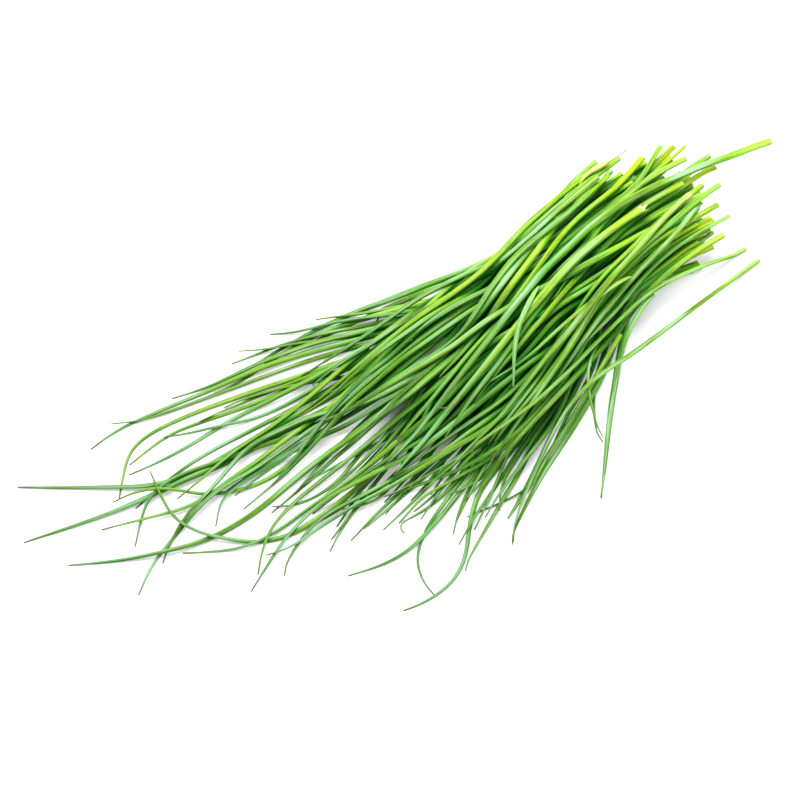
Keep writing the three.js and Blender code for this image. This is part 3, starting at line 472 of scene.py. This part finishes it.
# The few points that the solid has: the rings its shoot shares and, past them,
# what holds the curve within chordError.
def thin(leaf):
    nearCut = 4  # a ring within so many points of the cut is left out
    spots = np.stack([leaf["x"], leaf["y"], leaf["z"]], 1)
    fixed = [int(np.argmax(leaf["x"] <= ring)) for ring in leaf["rings"]]
    keep = {0, len(spots) - 1, *[i for i in fixed if i > nearCut]}

    def split(a, b):
        if b - a < 2:
            return
        chord = spots[b] - spots[a]
        inner = spots[a + 1:b]
        t = np.clip((inner - spots[a]) @ chord / (chord @ chord), 0, 1)
        miss = np.linalg.norm(inner - (spots[a] + t[:, None] * chord), axis=1)
        worst = int(np.argmax(miss))
        if miss[worst] > laying["chordError"]:
            at = a + 1 + worst
            keep.add(at)
            split(a, at)
            split(at, b)

    split(sorted(keep)[-2], len(spots) - 1)
    return np.array(sorted(keep))


# Points along the straight stretches between stations.
def chordPoints(stations):
    points = {key: [] for key in stationKeys + ("span",)}
    runs = np.hypot(np.diff(stations["x"]), np.diff(stations["y"]))
    for i, run in enumerate(runs):
        count = max(1, math.floor(run / laying["step"] + 0.5))
        t = np.arange(count + 1) / count
        for key in stationKeys:
            a, b = stations[key][i], stations[key][i + 1]
            points[key].append(a + (b - a) * t)
        points["span"].append(np.full(count + 1, i))
    return {key: np.concatenate(values) for key, values in points.items()}


# Lifts stations until no straight stretch dips into the leaves below it.
def clearBelow(stations):
    rounds, enough = 4, 0.01
    for _ in range(rounds):
        points = chordPoints(stations)
        lack = restingHeight(points["x"], points["y"], points["radius"]) - points["z"]
        short = np.zeros(len(stations["x"]) - 1)
        np.maximum.at(short, points["span"], lack)
        if short.max() < enough:
            return
        stations["z"] = stations["z"] + np.maximum(np.append(short, 0.0), np.append(0.0, short))


# The leaves of one shoot, side by side round its middle, still flat on x and y.
def leavesOf(stem, blades, draw):
    turn = next(draw) * 2 * math.pi
    number = len(blades)
    several = number > 1
    mean = sum(blade[0] for blade in blades) / number
    away = (mean / 2) * (laying["pressed"] / math.sin(math.pi / number)) if several else 0.0
    leaves = []
    for k, (width, *route) in enumerate(blades):
        angle = turn + (2 * math.pi * k) / number
        aside = away * math.cos(angle)
        points = [[x, y + aside] for x, y in pairs(stem)]
        if points:
            points[0][0] += laying["staggered"] * next(draw) - laying["staggered"] / 2
            points[0][1] += aside * laying["splay"]
        held = points[0][0] - stem[-2] if points else 0.0
        x, y, along = smoothPath(points + pairs(route))
        radius = radiusAt(along / along[-1], width, laying["slimBase"] if several else 0.0)
        leaves.append({
            "x": x, "y": y, "along": along, "radius": radius,
            "above": away * math.sin(angle) * laying["squash"], "aside": aside,
            "held": held, "rings": stem[2::2], "lift": np.zeros(len(x)),
        })
    return leaves


# Lays one shoot on the pile and returns its leaves.
def layShoot(stem, blades, draw):
    leaves = leavesOf(stem, blades, draw)
    way = settle(leaves[0], leaves, None)
    for leaf in leaves[1:]:
        settle(leaf, leaves, way)
    # the pressed stems ride at one height, so they rise and fall together
    rounds, overlap = 2, 2.0
    for _ in range(rounds):
        for leaf in leaves:
            drape(leaf)
        for leaf in leaves:
            for i in np.flatnonzero(leaf["along"] < leaf["held"]):
                shared = -np.inf
                for other in leaves:
                    near = np.argmax(other["x"] <= leaf["x"][i])
                    if other["along"][near] < other["held"] + overlap:
                        shared = max(shared, other["z"][near] - other["above"])
                leaf["lift"][i] = shared + leaf["above"]
        for leaf in leaves:
            leaf["rest"] = np.maximum(leaf["rest"], leaf["lift"])
    # past the stem each leaf lies over the ones before it
    for leaf in leaves:
        if leaf is not leaves[0]:
            settle(leaf, leaves, lambda x: 0.0)
        leaf["rest"] = np.maximum(leaf["rest"], leaf["lift"])
        drape(leaf)
        kept = thin(leaf)
        stations = {key: leaf[key][kept] for key in stationKeys}
        clearBelow(stations)
        points = chordPoints(stations)
        layDown(points, points["along"] > leaf["held"] + laying["parting"])
        # the smooth line keeps what its solid was lifted by
        lifted = stations["z"] - leaf["z"][kept]
        leaf["z"] = leaf["z"] + np.interp(leaf["along"], stations["along"], lifted)
        leaf["stations"] = stations
    return leaves


def layBunch():
    draw = drawsFrom(7)
    count = {}
    laid = []
    for tone, stem, blades in shoots:
        leaves = layShoot(stem, blades, draw)
        for leaf in leaves:
            layDown(chordPoints(leaf["stations"]))
        name = tone + ("_shoot" if len(blades) > 1 else "_leaf")
        count[name] = count.get(name, 0) + 1
        laid.append((tone, f"{name}_{count[name]}", leaves))
    print("leaves laid:", sum(len(leaves) for _, _, leaves in laid))
    return laid


leafShape = {
    # millimetres, and points or shares where that is said
    "around": 16,  # points round a leaf
    "ringGap": 2.0,  # between rings along the leaf
    "endGap": 0.5,  # and near the cut end and the tip
    "endStretch": 5.0,
    "smoothed": 6,  # times that the line is smoothed
    "slim": (0.92, 1.04),  # a leaf beside its solid, by the cut and further on
    "slimOver": (0.2, 0.55),  # the shares of its length between the two
    "wall": 0.28,  # thickness of the hollow leaf's wall
    "leastBore": 0.3,  # share of the radius that stays hollow in a thin leaf
    "boreDepth": 9.0,  # how far the hollow is open from the cut
    "tipStretch": 11.0,  # the last stretch draws out to the point
    "tipRadius": 0.22,
    "tipPower": 0.6,  # below 1 the tip stays full for longer
    "dent": 0.05,  # how far a leaf is off round
    "dentTurn": (0.02, 0.03),  # least turn a millimetre, and what chance adds
    "slant": 0.9,  # most that a cut slants to either side
    "slantReach": 1.6,
    "pinch": 0.35,  # most that a cut is pinched
    "pinchReach": 2.5,
    "flare": 0.35,  # how wide a torn end opens
    "flareReach": 2.0,
    # waves round its rim: how many, where they start, and how high
    "rags": [(3, 1.0, 0.5), (5, 4.0, 0.4), (8, 0.0, 0.3)],
    "ragReach": 1.4,
    "restOn": 0.03,  # lowest point above the table
    "cutFrom": 85.0,  # leaves that start beyond this x show a cut
    "tuckDepth": 2.4,  # how far a tucked start dips
    "tuckSlim": 0.6,
    "bulge": 0.3,  # how much a papery patch widens its leaf
    "bulgeReach": 1.6,
    "nudgeOver": (0.2, 0.7),  # shares of the length over which a nudge grows
    "grainGap": 400.0,  # how far apart two leaves may lie in the grain
}
leafAngles = 2 * np.pi * (np.arange(leafShape["around"]) + 0.5) / leafShape["around"]

# What single leaves have of their own: a tip moved over by x, y, z, a first
# stretch too stiff to bend, a frayed white end, a papery patch with a bulge, a
# start tucked under, or a lightness and a yellowness that aren't left to chance.
oddLeaves = {
    "blue_leaf_2": {"nudge": (0.5, -1.2, 0.7)},
    "blue_leaf_3": {"stiff": 66.0, "shade": 0.3, "age": 0.3},
    "bright_leaf_6": {"shade": 0.7, "age": 1.0},
    "blue_leaf_8": {"shade": 0.9, "age": 0.6},
    "pale_leaf_2": {"torn": 1.7},
    "fresh_leaf_9": {"patch": 8.0},
    "pale_leaf_4": {"tucked": 9.0},
    "pale_leaf_3": {"tucked": 9.0},
    "deep_leaf_7": {"tucked": 9.0},
}


# Where the rings go: close together at both ends, evenly between.
def ringPlaces(length):
    near = np.arange(0.0, leafShape["endStretch"], leafShape["endGap"])
    far = length - near[::-1]
    start, stop = leafShape["endStretch"], length - leafShape["endStretch"]
    middle = np.linspace(start, stop, max(3, int((stop - start) / leafShape["ringGap"])))
    return np.concatenate([near, middle, far[far > stop + 0.2]])


def unit(ways):
    return ways / np.linalg.norm(ways, axis=1)[:, None]


# The leaf's middle line, the directions round it and its half width.
def leafLine(leaf, places, odd):
    shape = leafShape
    share = places / places[-1]
    spots = np.stack([np.interp(places, leaf["along"], leaf[key]) for key in ("x", "y", "z")], 1)
    spots[:, :2] -= laying["footprintMiddle"]
    if "stiff" in odd:
        straight = int(np.searchsorted(places, odd["stiff"]))
        part = (places[:straight] / places[straight])[:, None]
        spots[:straight] = spots[0] * (1 - part) + spots[straight] * part
    if "nudge" in odd:
        spots += smoothstep(share, *shape["nudgeOver"])[:, None] * np.array(odd["nudge"])
    for _ in range(shape["smoothed"]):
        spots[1:-1] = spots[1:-1] * 0.5 + (spots[:-2] + spots[2:]) * 0.25
    ahead = unit(np.gradient(spots, places, axis=0))
    side = unit(np.stack([-ahead[:, 1], ahead[:, 0], 0 * places], 1))
    over = np.cross(ahead, side)
    over *= np.sign(over[:, 2])[:, None]
    radius = np.interp(places, leaf["along"], leaf["radius"])
    radius *= np.interp(share, shape["slimOver"], shape["slim"])
    left = np.clip((places[-1] - places) / shape["tipStretch"], 0, 1)
    fine = min(1.0, shape["tipRadius"] / radius[-1])
    radius = radius * (fine + (1 - fine) * left ** shape["tipPower"])
    if "tucked" in odd:
        hidden = np.clip(1 - places / odd["tucked"], 0, 1) ** 2
        spots[:, 2] -= shape["tuckDepth"] * hidden
        radius = radius * (1 - shape["tuckSlim"] * hidden)
    if "patch" in odd:
        near = np.exp(-((places - odd["patch"]) / shape["bulgeReach"]) ** 2)
        radius = radius * (1 + shape["bulge"] * near)
    return spots, ahead, side, over, radius


# The hollow leaf's rings of points, from the bore's end out to the cut and
# over the rim to the tip, and those of the skin alone.
def leafRings(places, line, torn, draw):
    spots, ahead, side, over, radius = line
    shape = leafShape
    angle = leafAngles
    turn = 2 * np.pi * next(draw)
    least, more = shape["dentTurn"]
    drift = least + more * next(draw)
    dentTurn = (turn + drift * places)[:, None]
    dent = shape["dent"] * np.cos(2 * (angle - dentTurn))
    dent += 0.3 * shape["dent"] * np.cos(3 * angle + 1.7 * dentTurn)
    slant = shape["slant"] * (next(draw) - 0.5)
    slantTurn = 2 * np.pi * next(draw)
    pinch = shape["pinch"] * next(draw) ** 2 * np.exp(-places / shape["pinchReach"])
    slant = slant * np.exp(-places / shape["slantReach"])
    # a torn end flares out, and its rim runs up and down
    flare = shape["flare"] * (torn > 0) * np.exp(-places / shape["flareReach"])
    rags = sum(height * np.sin(number * angle + start) for number, start, height in shape["rags"])
    rags = torn * rags * np.exp(-places / shape["ragReach"])[:, None]

    def ringAt(size):
        size = size[:, None]
        wide = size * (1 + dent) * (1 + 0.5 * pinch + flare)[:, None]
        high = size * (1 + dent) * (1 - pinch + flare)[:, None] * laying["squash"]
        slide = slant[:, None] * size * np.cos(angle - slantTurn) + rags
        parts = ((side, wide * np.cos(angle)), (over, high * np.sin(angle)), (ahead, slide))
        return sum((way[:, None] * size[:, :, None] for way, size in parts), spots[:, None])

    skin = ringAt(radius)
    bore = ringAt(np.maximum(radius - shape["wall"], shape["leastBore"] * radius))
    return np.concatenate([bore[places < shape["boreDepth"]][::-1], skin]), skin


# Four-sided faces between rings of points that follow one another.
def facesBetween(count, around, start=0):
    ring = start + np.arange(count - 1)[:, None] * around
    k = np.arange(around)[None, :]
    n = (k + 1) % around
    quads = np.stack([ring + k, ring + around + k, ring + around + n, ring + n], 2)
    return quads.reshape(-1, 4).tolist()


# Where each face's corners lie on the flattened leaf, from 0 to 1.
def leafMap(count, around):
    last = count - 1
    corners = []
    for i in range(last):
        for k in range(around):
            corners += [(i, k), (i + 1, k), (i + 1, k + 1), (i, k + 1)]
    for k in range(around):
        corners += [(0, k), (0, k), (0, k + 1)]
    for k in range(around):
        corners += [(last, k), (last, k + 1), (last, k)]
    return np.array(corners) / (last, around)


# What the finish needs to know at each point, the two end points last.
def leafFacts(rings, inside, cut, odd, draw):
    around = leafShape["around"]
    along = np.append(np.repeat(rings, around), [rings[0], rings[-1]])
    shade, age = next(draw), next(draw)
    shade, age = odd.get("shade", shade), odd.get("age", age if cut else 0.0)
    papery = 0 * along
    if "torn" in odd:
        papery = np.exp(-(along / (0.8 * odd["torn"])) ** 2)
    if "patch" in odd:
        papery = 0.6 * np.exp(-((along - odd["patch"]) / 1.1) ** 2)
    circle = np.stack([np.cos(leafAngles), np.sin(leafAngles)], 1)
    grain = np.concatenate([np.tile(circle, (len(rings), 1)), np.zeros((2, 2))])
    return {
        "along": along, "share": along / rings[-1], "papery": papery,
        "inside": np.append(np.repeat(inside, around), [1.0, 0.0]),
        "shade": np.full(len(along), shade), "age": np.full(len(along), age),
        "grain": np.column_stack([grain, along + leafShape["grainGap"] * shade]),
    }


# One hollow leaf: the skin from cut end to tip, the rim and the bore's wall.
def leafMesh(leaf, draw, odd):
    places = ringPlaces(leaf["along"][-1])
    line = leafLine(leaf, places, odd)
    spots, ahead = line[:2]
    rings, skin = leafRings(places, line, odd.get("torn", 0.0), draw)
    count, around = rings.shape[:2]
    bored = places < leafShape["boreDepth"]
    boreEnd = spots[bored][-1] + ahead[bored][-1] * 0.5
    tipEnd = spots[-1] + ahead[-1] * leafShape["tipRadius"]
    vertices = np.concatenate([rings.reshape(-1, 3), [boreEnd, tipEnd]])
    vertices[:, 2] = np.maximum(vertices[:, 2], leafShape["restOn"])
    faces = facesBetween(count, around)
    boreTip, leafTip, last = count * around, count * around + 1, (count - 1) * around
    faces += [[boreTip, i, (i + 1) % around] for i in range(around)]
    faces += [[leafTip, last + (i + 1) % around, last + i] for i in range(around)]
    cut = leaf["x"][0] >= leafShape["cutFrom"] and "tucked" not in odd
    along = np.concatenate([places[bored][::-1], places])
    inside = np.arange(count) < bored.sum()
    return {
        "vertices": vertices, "faces": faces, "skin": skin, "spots": spots,
        "flat": leafMap(count, around), "facts": leafFacts(along, inside, cut, odd, draw),
    }


# Dried skin on top of the bunch: x, y points on the table in millimetres,
# and how wide it is at shares of its length.
driedSkin = {
    "dried_sheath": {
        "tone": "dried",
        "route": [84,28.6, 88.3,29.6, 92.1,29.5, 95.6,29, 98.2,28.6, 103.7,28.1, 106.9,28.3],
        "shares": (0.0, 0.25, 0.5, 0.62, 0.70, 1.0),
        "widths": (0.6, 2.2, 2.7, 1.5, 0.5, 0.4),
    },
    "dried_tendril": {
        "tone": "withered",
        "route": [-5.9,-10.7, -9.3,-11.5, -11.9,-11.4, -14.1,-10.3, -15.5,-8.7],
        "shares": (0.0, 0.5, 1.0),
        "widths": (0.5, 0.45, 0.3),
    },
}


def layDried(bit):
    rounds, clear = 40, 0.3
    x, y, along = smoothPath(pairs(bit["route"]))
    radius = np.interp(along / along[-1], bit["shares"], bit["widths"]) / 2
    z = restingHeight(x, y, radius)
    for _ in range(rounds):
        z[1:-1] = np.maximum(z[1:-1], (z[:-2] + z[2:]) / 2)
    half = len(z) // 2
    z[half:] = np.maximum(z[half:], z[half])  # the thin end sticks out
    return {"x": x, "y": y, "z": z + clear, "along": along, "radius": radius}


# How much of the room a leaf's skin sees, past the other leaves: 0 to 1; the leaf colour is
# darkened by it as painted shade.
skyView = {
    "sides": 4,  # places looked from, round a leaf
    "turns": 4,  # looks round each place, at each lean
    "steep": (25.0, 62.0),  # looks lean this far from straight out
    "reach": 30.0,  # leaves further away hide nothing
    "lift": 0.2,  # start of each look above the skin
    "floor": 0.5,  # what seeing the table counts for
    "smoothed": 3,
    "boreOpen": 0.3,  # what the hollow is taken to see
}


# The skins of all leaves as one surface, with half the points round each.
def leafTree(made):
    vertices, faces = [], []
    for leaf in made:
        skin = leaf["skin"][:, ::2]
        faces += facesBetween(*skin.shape[:2], len(vertices))
        vertices += skin.reshape(-1, 3).tolist()
    return BVHTree.FromPolygons(vertices, faces)


def roomSeen(leaf, tree):
    view = skyView
    sides, reach = view["sides"], view["reach"]
    skin, spots = leaf["skin"], leaf["spots"]
    around = skin.shape[1]
    seen = np.zeros((len(skin), sides))
    ahead = unit(np.gradient(spots, axis=0))
    for side in range(sides):
        start = skin[:, side * around // sides]
        out = unit(start - spots)
        across = np.cross(ahead, out)
        origins = (start + out * view["lift"]).tolist()
        for n, steep in enumerate(np.radians(view["steep"])):
            for turn in np.radians(45 * n + 360 * np.arange(view["turns"]) / view["turns"]):
                look = out * math.cos(steep) + math.sin(steep) * (
                    ahead * math.cos(turn) + across * math.sin(turn)
                )
                for i, (origin, way) in enumerate(zip(origins, look.tolist())):
                    hit = tree.ray_cast(origin, way, reach)[3]
                    down = -origin[2] / way[2] if way[2] < 0 else reach * 2
                    if hit is None or hit > down:
                        seen[i, side] += view["floor"] if down < reach else 1.0
    seen /= view["turns"] * len(view["steep"])
    for _ in range(view["smoothed"]):
        seen[1:-1] = seen[1:-1] * 0.4 + (seen[:-2] + seen[2:]) * 0.3
    at = np.arange(around) * sides / around
    low = at.astype(int)
    part = at - low
    return seen[:, low] * (1 - part) + seen[:, (low + 1) % sides] * part


# One piece of all the leaves of a node.
def makeLeaves(node, made, tree):
    bore, margin = skyView["boreOpen"], 0.03
    faces, start = [], 0
    for n, leaf in enumerate(made):
        # each point's view of the room, for the painted shade in the leaf colour
        seen = roomSeen(leaf, tree)
        hollow = np.full(len(leaf["vertices"]) - 2 - seen.size, bore)
        leaf["facts"]["open"] = np.concatenate([hollow, seen.ravel(), [bore, 1.0]])
        faces += [[i + start for i in face] for face in leaf["faces"]]
        start += len(leaf["vertices"])
        # each leaf has its own strip of the flattened map
        leaf["flat"][:, 1] = (n + margin + (1 - 2 * margin) * leaf["flat"][:, 1]) / len(made)
    mesh = bpy.data.meshes.new(node)
    vertices = np.concatenate([leaf["vertices"] for leaf in made])
    mesh.from_pydata(vertices * millimetre, [], faces)
    for key in made[0]["facts"]:
        values = np.concatenate([leaf["facts"][key] for leaf in made])
        kind, field = ("FLOAT_VECTOR", "vector") if values.ndim == 2 else ("FLOAT", "value")
        layer = mesh.attributes.new(key, kind, "POINT")
        layer.data.foreach_set(field, values.astype(np.float32).ravel())
    flat = np.concatenate([leaf["flat"] for leaf in made])
    mesh.uv_layers.new(name="OFBake").data.foreach_set("uv", flat.astype(np.float32).ravel())
    mesh.shade_smooth()
    mesh.update()
    return addObject(node if node in driedSkin else "leaves_" + node, mesh)


# One operator of a wire, or its reflected form.
def operator(operation, reflected=False):
    def write(wire, other):
        first, second = (other, wire) if reflected else (wire, other)
        return wire.maths(operation, first, second)

    return write


# A socket that sums and products can be written with.
class Wire:
    def __init__(self, finish, socket):
        self.finish = finish
        self.socket = socket

    def maths(self, operation, first, second):
        return self.finish.node("ShaderNodeMath", {"operation": operation}, {0: first, 1: second})

    def limited(self, low, high):
        return self.maths("MINIMUM", self.maths("MAXIMUM", self, low), high)

    __add__, __radd__ = operator("ADD"), operator("ADD", True)
    __sub__, __rsub__ = operator("SUBTRACT"), operator("SUBTRACT", True)
    __mul__, __rmul__ = operator("MULTIPLY"), operator("MULTIPLY", True)
    __pow__ = operator("POWER")


class Finish:
    def __init__(self, name):
        self.material = bpy.data.materials.new(name)
        self.material.use_nodes = True
        self.tree = self.material.node_tree
        self.shader = self.tree.nodes["Principled BSDF"]

    def node(self, kind, settings, sockets, output=0):
        node = self.tree.nodes.new(kind)
        for key, value in settings.items():
            setattr(node, key, value)
        self.feed(node, sockets)
        return Wire(self, node.outputs[output])

    # Values and links go in by the socket's name or number.
    def feed(self, node, sockets):
        for key, value in sockets.items():
            socket = node.inputs[key]
            if isinstance(value, Wire):
                self.tree.links.new(value.socket, socket)
            else:
                socket.default_value = (*value, 1.0) if socket.type == "RGBA" else value

    def attribute(self, name, output="Fac"):
        return self.node("ShaderNodeAttribute", {"attribute_name": name}, {}, output)

    def mix(self, factor, first, second, blend="MIX"):
        settings = {"data_type": "RGBA", "blend_type": blend}
        # 6 and 7 are the sockets that take colours, and 2 gives one
        return self.node("ShaderNodeMix", settings, {0: factor, 6: first, 7: second}, 2)

    def tinted(self, colour, red, green, blue):
        tint = self.node("ShaderNodeCombineColor", {}, {0: red, 1: green, 2: blue})
        return self.mix(1.0, colour, tint, "MULTIPLY")

    def between(self, value, low, high):
        return self.node("ShaderNodeMapRange", {"interpolation_type": "SMOOTHSTEP"}, {
            "Value": value, "From Min": low, "From Max": high,
        })

    # noise round a leaf, drawn out along it
    def streaks(self, grain, roundScale, alongScale, detail):
        scale = (roundScale, roundScale, alongScale)
        place = self.node("ShaderNodeMapping", {}, {"Vector": grain, "Scale": scale})
        return self.node("ShaderNodeTexNoise", {}, {
            "Vector": place, "Scale": 1.0, "Detail": detail, "Roughness": 0.6,
        })


def linear(hexCode):
    parts = [int(hexCode[i:i + 2], 16) / 255 for i in (1, 3, 5)]
    return tuple(p / 12.92 if p <= 0.04045 else ((p + 0.055) / 1.055) ** 2.4 for p in parts)


leafFinish = {
    "tones": {  # by the cut, in the middle, towards the tip, and how much pale waxen coat, partly a painted sheen
        "deep": ("#70a414", "#568a12", "#427624", 0.52),
        "fresh": ("#7cab10", "#639412", "#4a7c22", 0.45),
        "bright": ("#90b402", "#78a208", "#56861e", 0.22),
        "blue": ("#6ca022", "#5c8e26", "#44782e", 0.72),
        "pale": ("#7ca834", "#72a238", "#588a36", 0.38),
        "dried": ("#a8c44c", "#bccb6a", "#84766a", 0.0),
        "withered": ("#7d8a3a", "#8a6f4c", "#6e5040", 0.0),
    },
    "middleOver": (0.02, 0.35),  # shares of the length between two tones
    "outerOver": (0.45, 0.95),
    "waxAndSheenColour": "#96bb98",  # bluish waxen coat that rubs off in patches, also a painted sheen
    "waxAndSheenOver": (0.42, 0.66),
    "cutEnd": "#94b800",  # yellow-green where the leaf was cut
    "cutReach": (3.0, 30.0),  # how far the yellow runs up, in millimetres
    "flesh": "#b9c68a",  # the cut wall and the hollow
    "paper": "#cfcfa2",  # torn and dried skin
    "dryTip": "#5a5a34",
    "dryOver": (0.980, 1.003),
    "lightness": 0.84,
    "byLeaf": 0.48,  # how much lighter one leaf is than another
    "bySheath": 0.09,  # and how much darker a leaf is by its cut
    "sheathOver": (0.1, 0.4),
    "limits": (0.42, 1.12),
    "streaks": {
        # name: (scale round the leaf, scale along it, detail, how light or dark)
        "patches": (0.7, 0.035, 2.0, 0.6),
        "bands": (1.6, 0.04, 2.0, 3.6),
        "ribs": (4.0, 0.12, 3.0, 2.4),
        "speckle": (5.0, 0.9, 2.0, 1.1),
    },
    # long streaks that lean from yellowish to bluish
    "hueStreaks": (0.3, 0.012, 1.0),
    "hueOver": (0.36, 0.64),
    "hueRed": (1.22, 0.36),  # at the yellowish side, and what the bluish takes off
    "hueBlue": (0.4, 1.6),  # and what it adds
    "paintedShadeOver": (0.03, 0.80),  # painted shade, by how open a place is: from deep between the leaves to clear
    "paintedShadeTint": (1.35, 0.44, 3.0),  # the painted shade's tint: red's power, the green that stays, blue's power
    "paintedShine": 0.22,  # painted light: the pale ends look lit through
    "paintedShineReach": (5.0, 45.0),
    "roughness": 0.45,
    "specular": 0.2,
    "bump": (0.6, 0.0003),  # strength, and height in metres
}


def leafMaterial(tone):
    look = leafFinish
    finish = Finish("leaf " + tone)
    between, mix = finish.between, finish.mix
    *codes, waxAndSheen = look["tones"][tone]
    stalk, middle, outer = (linear(code) for code in codes)
    names = ("along", "share", "shade", "age", "inside", "papery", "open")
    along, share, shade, age, inside, papery, room = map(finish.attribute, names)
    grain = finish.attribute("grain", "Vector")
    streaks = {name: finish.streaks(grain, *row[:3]) for name, row in look["streaks"].items()}
    patches, bands = streaks["patches"], streaks["bands"]
    colour = mix(between(share, *look["middleOver"]), stalk, middle)
    colour = mix(between(share, *look["outerOver"]), colour, outer)
    yellow = (1 - between(along, *look["cutReach"])) * age * (0.35 + age)
    colour = mix(yellow, colour, linear(look["cutEnd"]))
    lively = look["lightness"] + look["byLeaf"] * shade
    for name, row in look["streaks"].items():
        lively = lively + row[3] * (streaks[name] - 0.5)
    lively = lively + look["bySheath"] * between(share, *look["sheathOver"])
    lively = lively.limited(*look["limits"])
    bluish = 0.5
    if waxAndSheen:
        bluish = between(finish.streaks(grain, *look["hueStreaks"]), *look["hueOver"])
    (red, lessRed), (blue, moreBlue) = look["hueRed"], look["hueBlue"]
    red, blue = lively * (red - lessRed * bluish), lively * (blue + moreBlue * bluish)
    colour = finish.tinted(colour, red, 0.1 + 0.9 * lively, blue)
    # waxen coat in patches, also a painted sheen, stronger towards the cut
    bloomAndSheen = between(patches + 0.6 * (bands - 0.5), *look["waxAndSheenOver"])
    bloomAndSheen = bloomAndSheen * waxAndSheen * (1 - yellow) * (1.1 - 0.4 * share)
    colour = mix(bloomAndSheen, colour, linear(look["waxAndSheenColour"]))
    dryness = between(share + 0.010 * shade, *look["dryOver"])
    colour = mix(dryness, colour, linear(look["dryTip"]))
    colour = mix(inside, colour, linear(look["flesh"]))
    papery = papery * (0.7 + 0.6 * (bands - 0.3))
    colour = mix(papery, colour, linear(look["paper"]))
    # painted light seen through the pale cut ends
    paintedShine = look["paintedShine"] * (1 - between(along, *look["paintedShineReach"]))
    # painted shade: darker and greener where other leaves hide the room, lifted near the pale cut
    # ends
    lit = (between(room, *look["paintedShadeOver"]) + paintedShine).limited(0.0, 1.0)
    red, green, blue = look["paintedShadeTint"]
    colour = finish.tinted(colour, lit ** red, green + (1 - green) * lit, lit ** blue)
    strength, height = look["bump"]
    bump = finish.node("ShaderNodeBump", {}, {
        "Height": streaks["ribs"] + bands, "Strength": strength, "Distance": height,
    })
    finish.feed(finish.shader, {
        "Base Color": colour, "Roughness": look["roughness"] + 0.2 * (patches - 0.5),
        "Normal": bump, "Specular IOR Level": look["specular"],
    })
    return finish.material


studio = {
    "floorColour": (0.56, 0.56, 0.56),
    "floorGlow": 0.34,  # painted light: a glow that lifts the shadows on the white table
    "floorRoughness": 0.9,
    "floorSpecular": 0.1,
    "floorSize": 6.0,
    # painted shadow: the table is dark and has no glow under the thick of the bunch: middle and
    # reach, in metres
    "paintedShadowMiddle": (0.025, -0.002, 0.0),
    "paintedShadowReach": (0.072, 0.026, 1.0),
    "paintedShadowEdge": 0.35,  # share of the reach over which it fades
    "paintedShadowColour": (0.03, 0.06, 0.02),
    "skyStrength": 0.42,
    "lamps": {
        # name: (azimuth, elevation, distance, size, watts)
        "key": (155.0, 66.0, 2.6, 2.4, 169.0),
        "side": (50.0, 35.0, 2.6, 2.3, 42.0),
    },
}


def floorMaterial():
    white, black = (1.0, 1.0, 1.0), (0.0, 0.0, 0.0)
    finish = Finish("floor")
    place = finish.node("ShaderNodeMapping", {"vector_type": "TEXTURE"}, {
        "Vector": finish.node("ShaderNodeTexCoord", {}, {}, "Object"),
        "Location": studio["paintedShadowMiddle"], "Scale": studio["paintedShadowReach"],
    })
    kind = {"gradient_type": "SPHERICAL"}
    # painted shadow under the thick of the bunch: dark colour and no glow
    under = finish.node("ShaderNodeTexGradient", kind, {"Vector": place}, "Fac")
    under = finish.between(under, 0.0, studio["paintedShadowEdge"])
    finish.feed(finish.shader, {
        "Base Color": finish.mix(under, studio["floorColour"], studio["paintedShadowColour"]),
        "Emission Color": finish.mix(under, white, black),
        "Emission Strength": studio["floorGlow"],
        "Roughness": studio["floorRoughness"], "Specular IOR Level": studio["floorSpecular"],
    })
    return finish.material


def makeStudio():
    half = studio["floorSize"] / 2
    mesh = bpy.data.meshes.new("floor")
    corners = [(-half, -half, 0), (half, -half, 0), (half, half, 0), (-half, half, 0)]
    mesh.from_pydata(corners, [], [(0, 1, 2, 3)])
    mesh.materials.append(floorMaterial())
    addObject("floor", mesh)
    for name, (azimuth, elevation, distance, size, watts) in studio["lamps"].items():
        data = bpy.data.lights.new(name, "AREA")
        data.size = size
        data.energy = watts
        away = wayTo(azimuth, elevation)
        addObject(name, data, away * distance, away)
    scene = bpy.context.scene
    scene.world = bpy.data.worlds.new("studio")
    scene.world.use_nodes = True
    sky = scene.world.node_tree.nodes["Background"]
    sky.inputs["Color"].default_value = (1.0, 1.0, 1.0, 1.0)
    sky.inputs["Strength"].default_value = studio["skyStrength"]
    scene.view_settings.view_transform = "Standard"
    scene.view_settings.look = "None"
    print("studio lit")


makeCamera()
makeStudio()
materials = {tone: leafMaterial(tone) for tone in leafFinish["tones"]}
print("finishes made:", len(materials))
variety = drawsFrom(11)
bunch = [
    (tone, node, [leafMesh(leaf, variety, oddLeaves.get(node, {})) for leaf in leaves])
    for tone, node, leaves in layBunch()
]
for name, bit in driedSkin.items():
    bunch.append((bit["tone"], name, [leafMesh(layDried(bit), variety, {})]))
tree = leafTree([leaf for _, _, made in bunch for leaf in made])
for tone, node, made in bunch:
    piece = makeLeaves(node, made, tree)
    piece.data.materials.append(materials[tone])
    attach(piece, "root")
    if node in driedSkin:
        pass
    else:
        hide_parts(node)
print("leaves made")
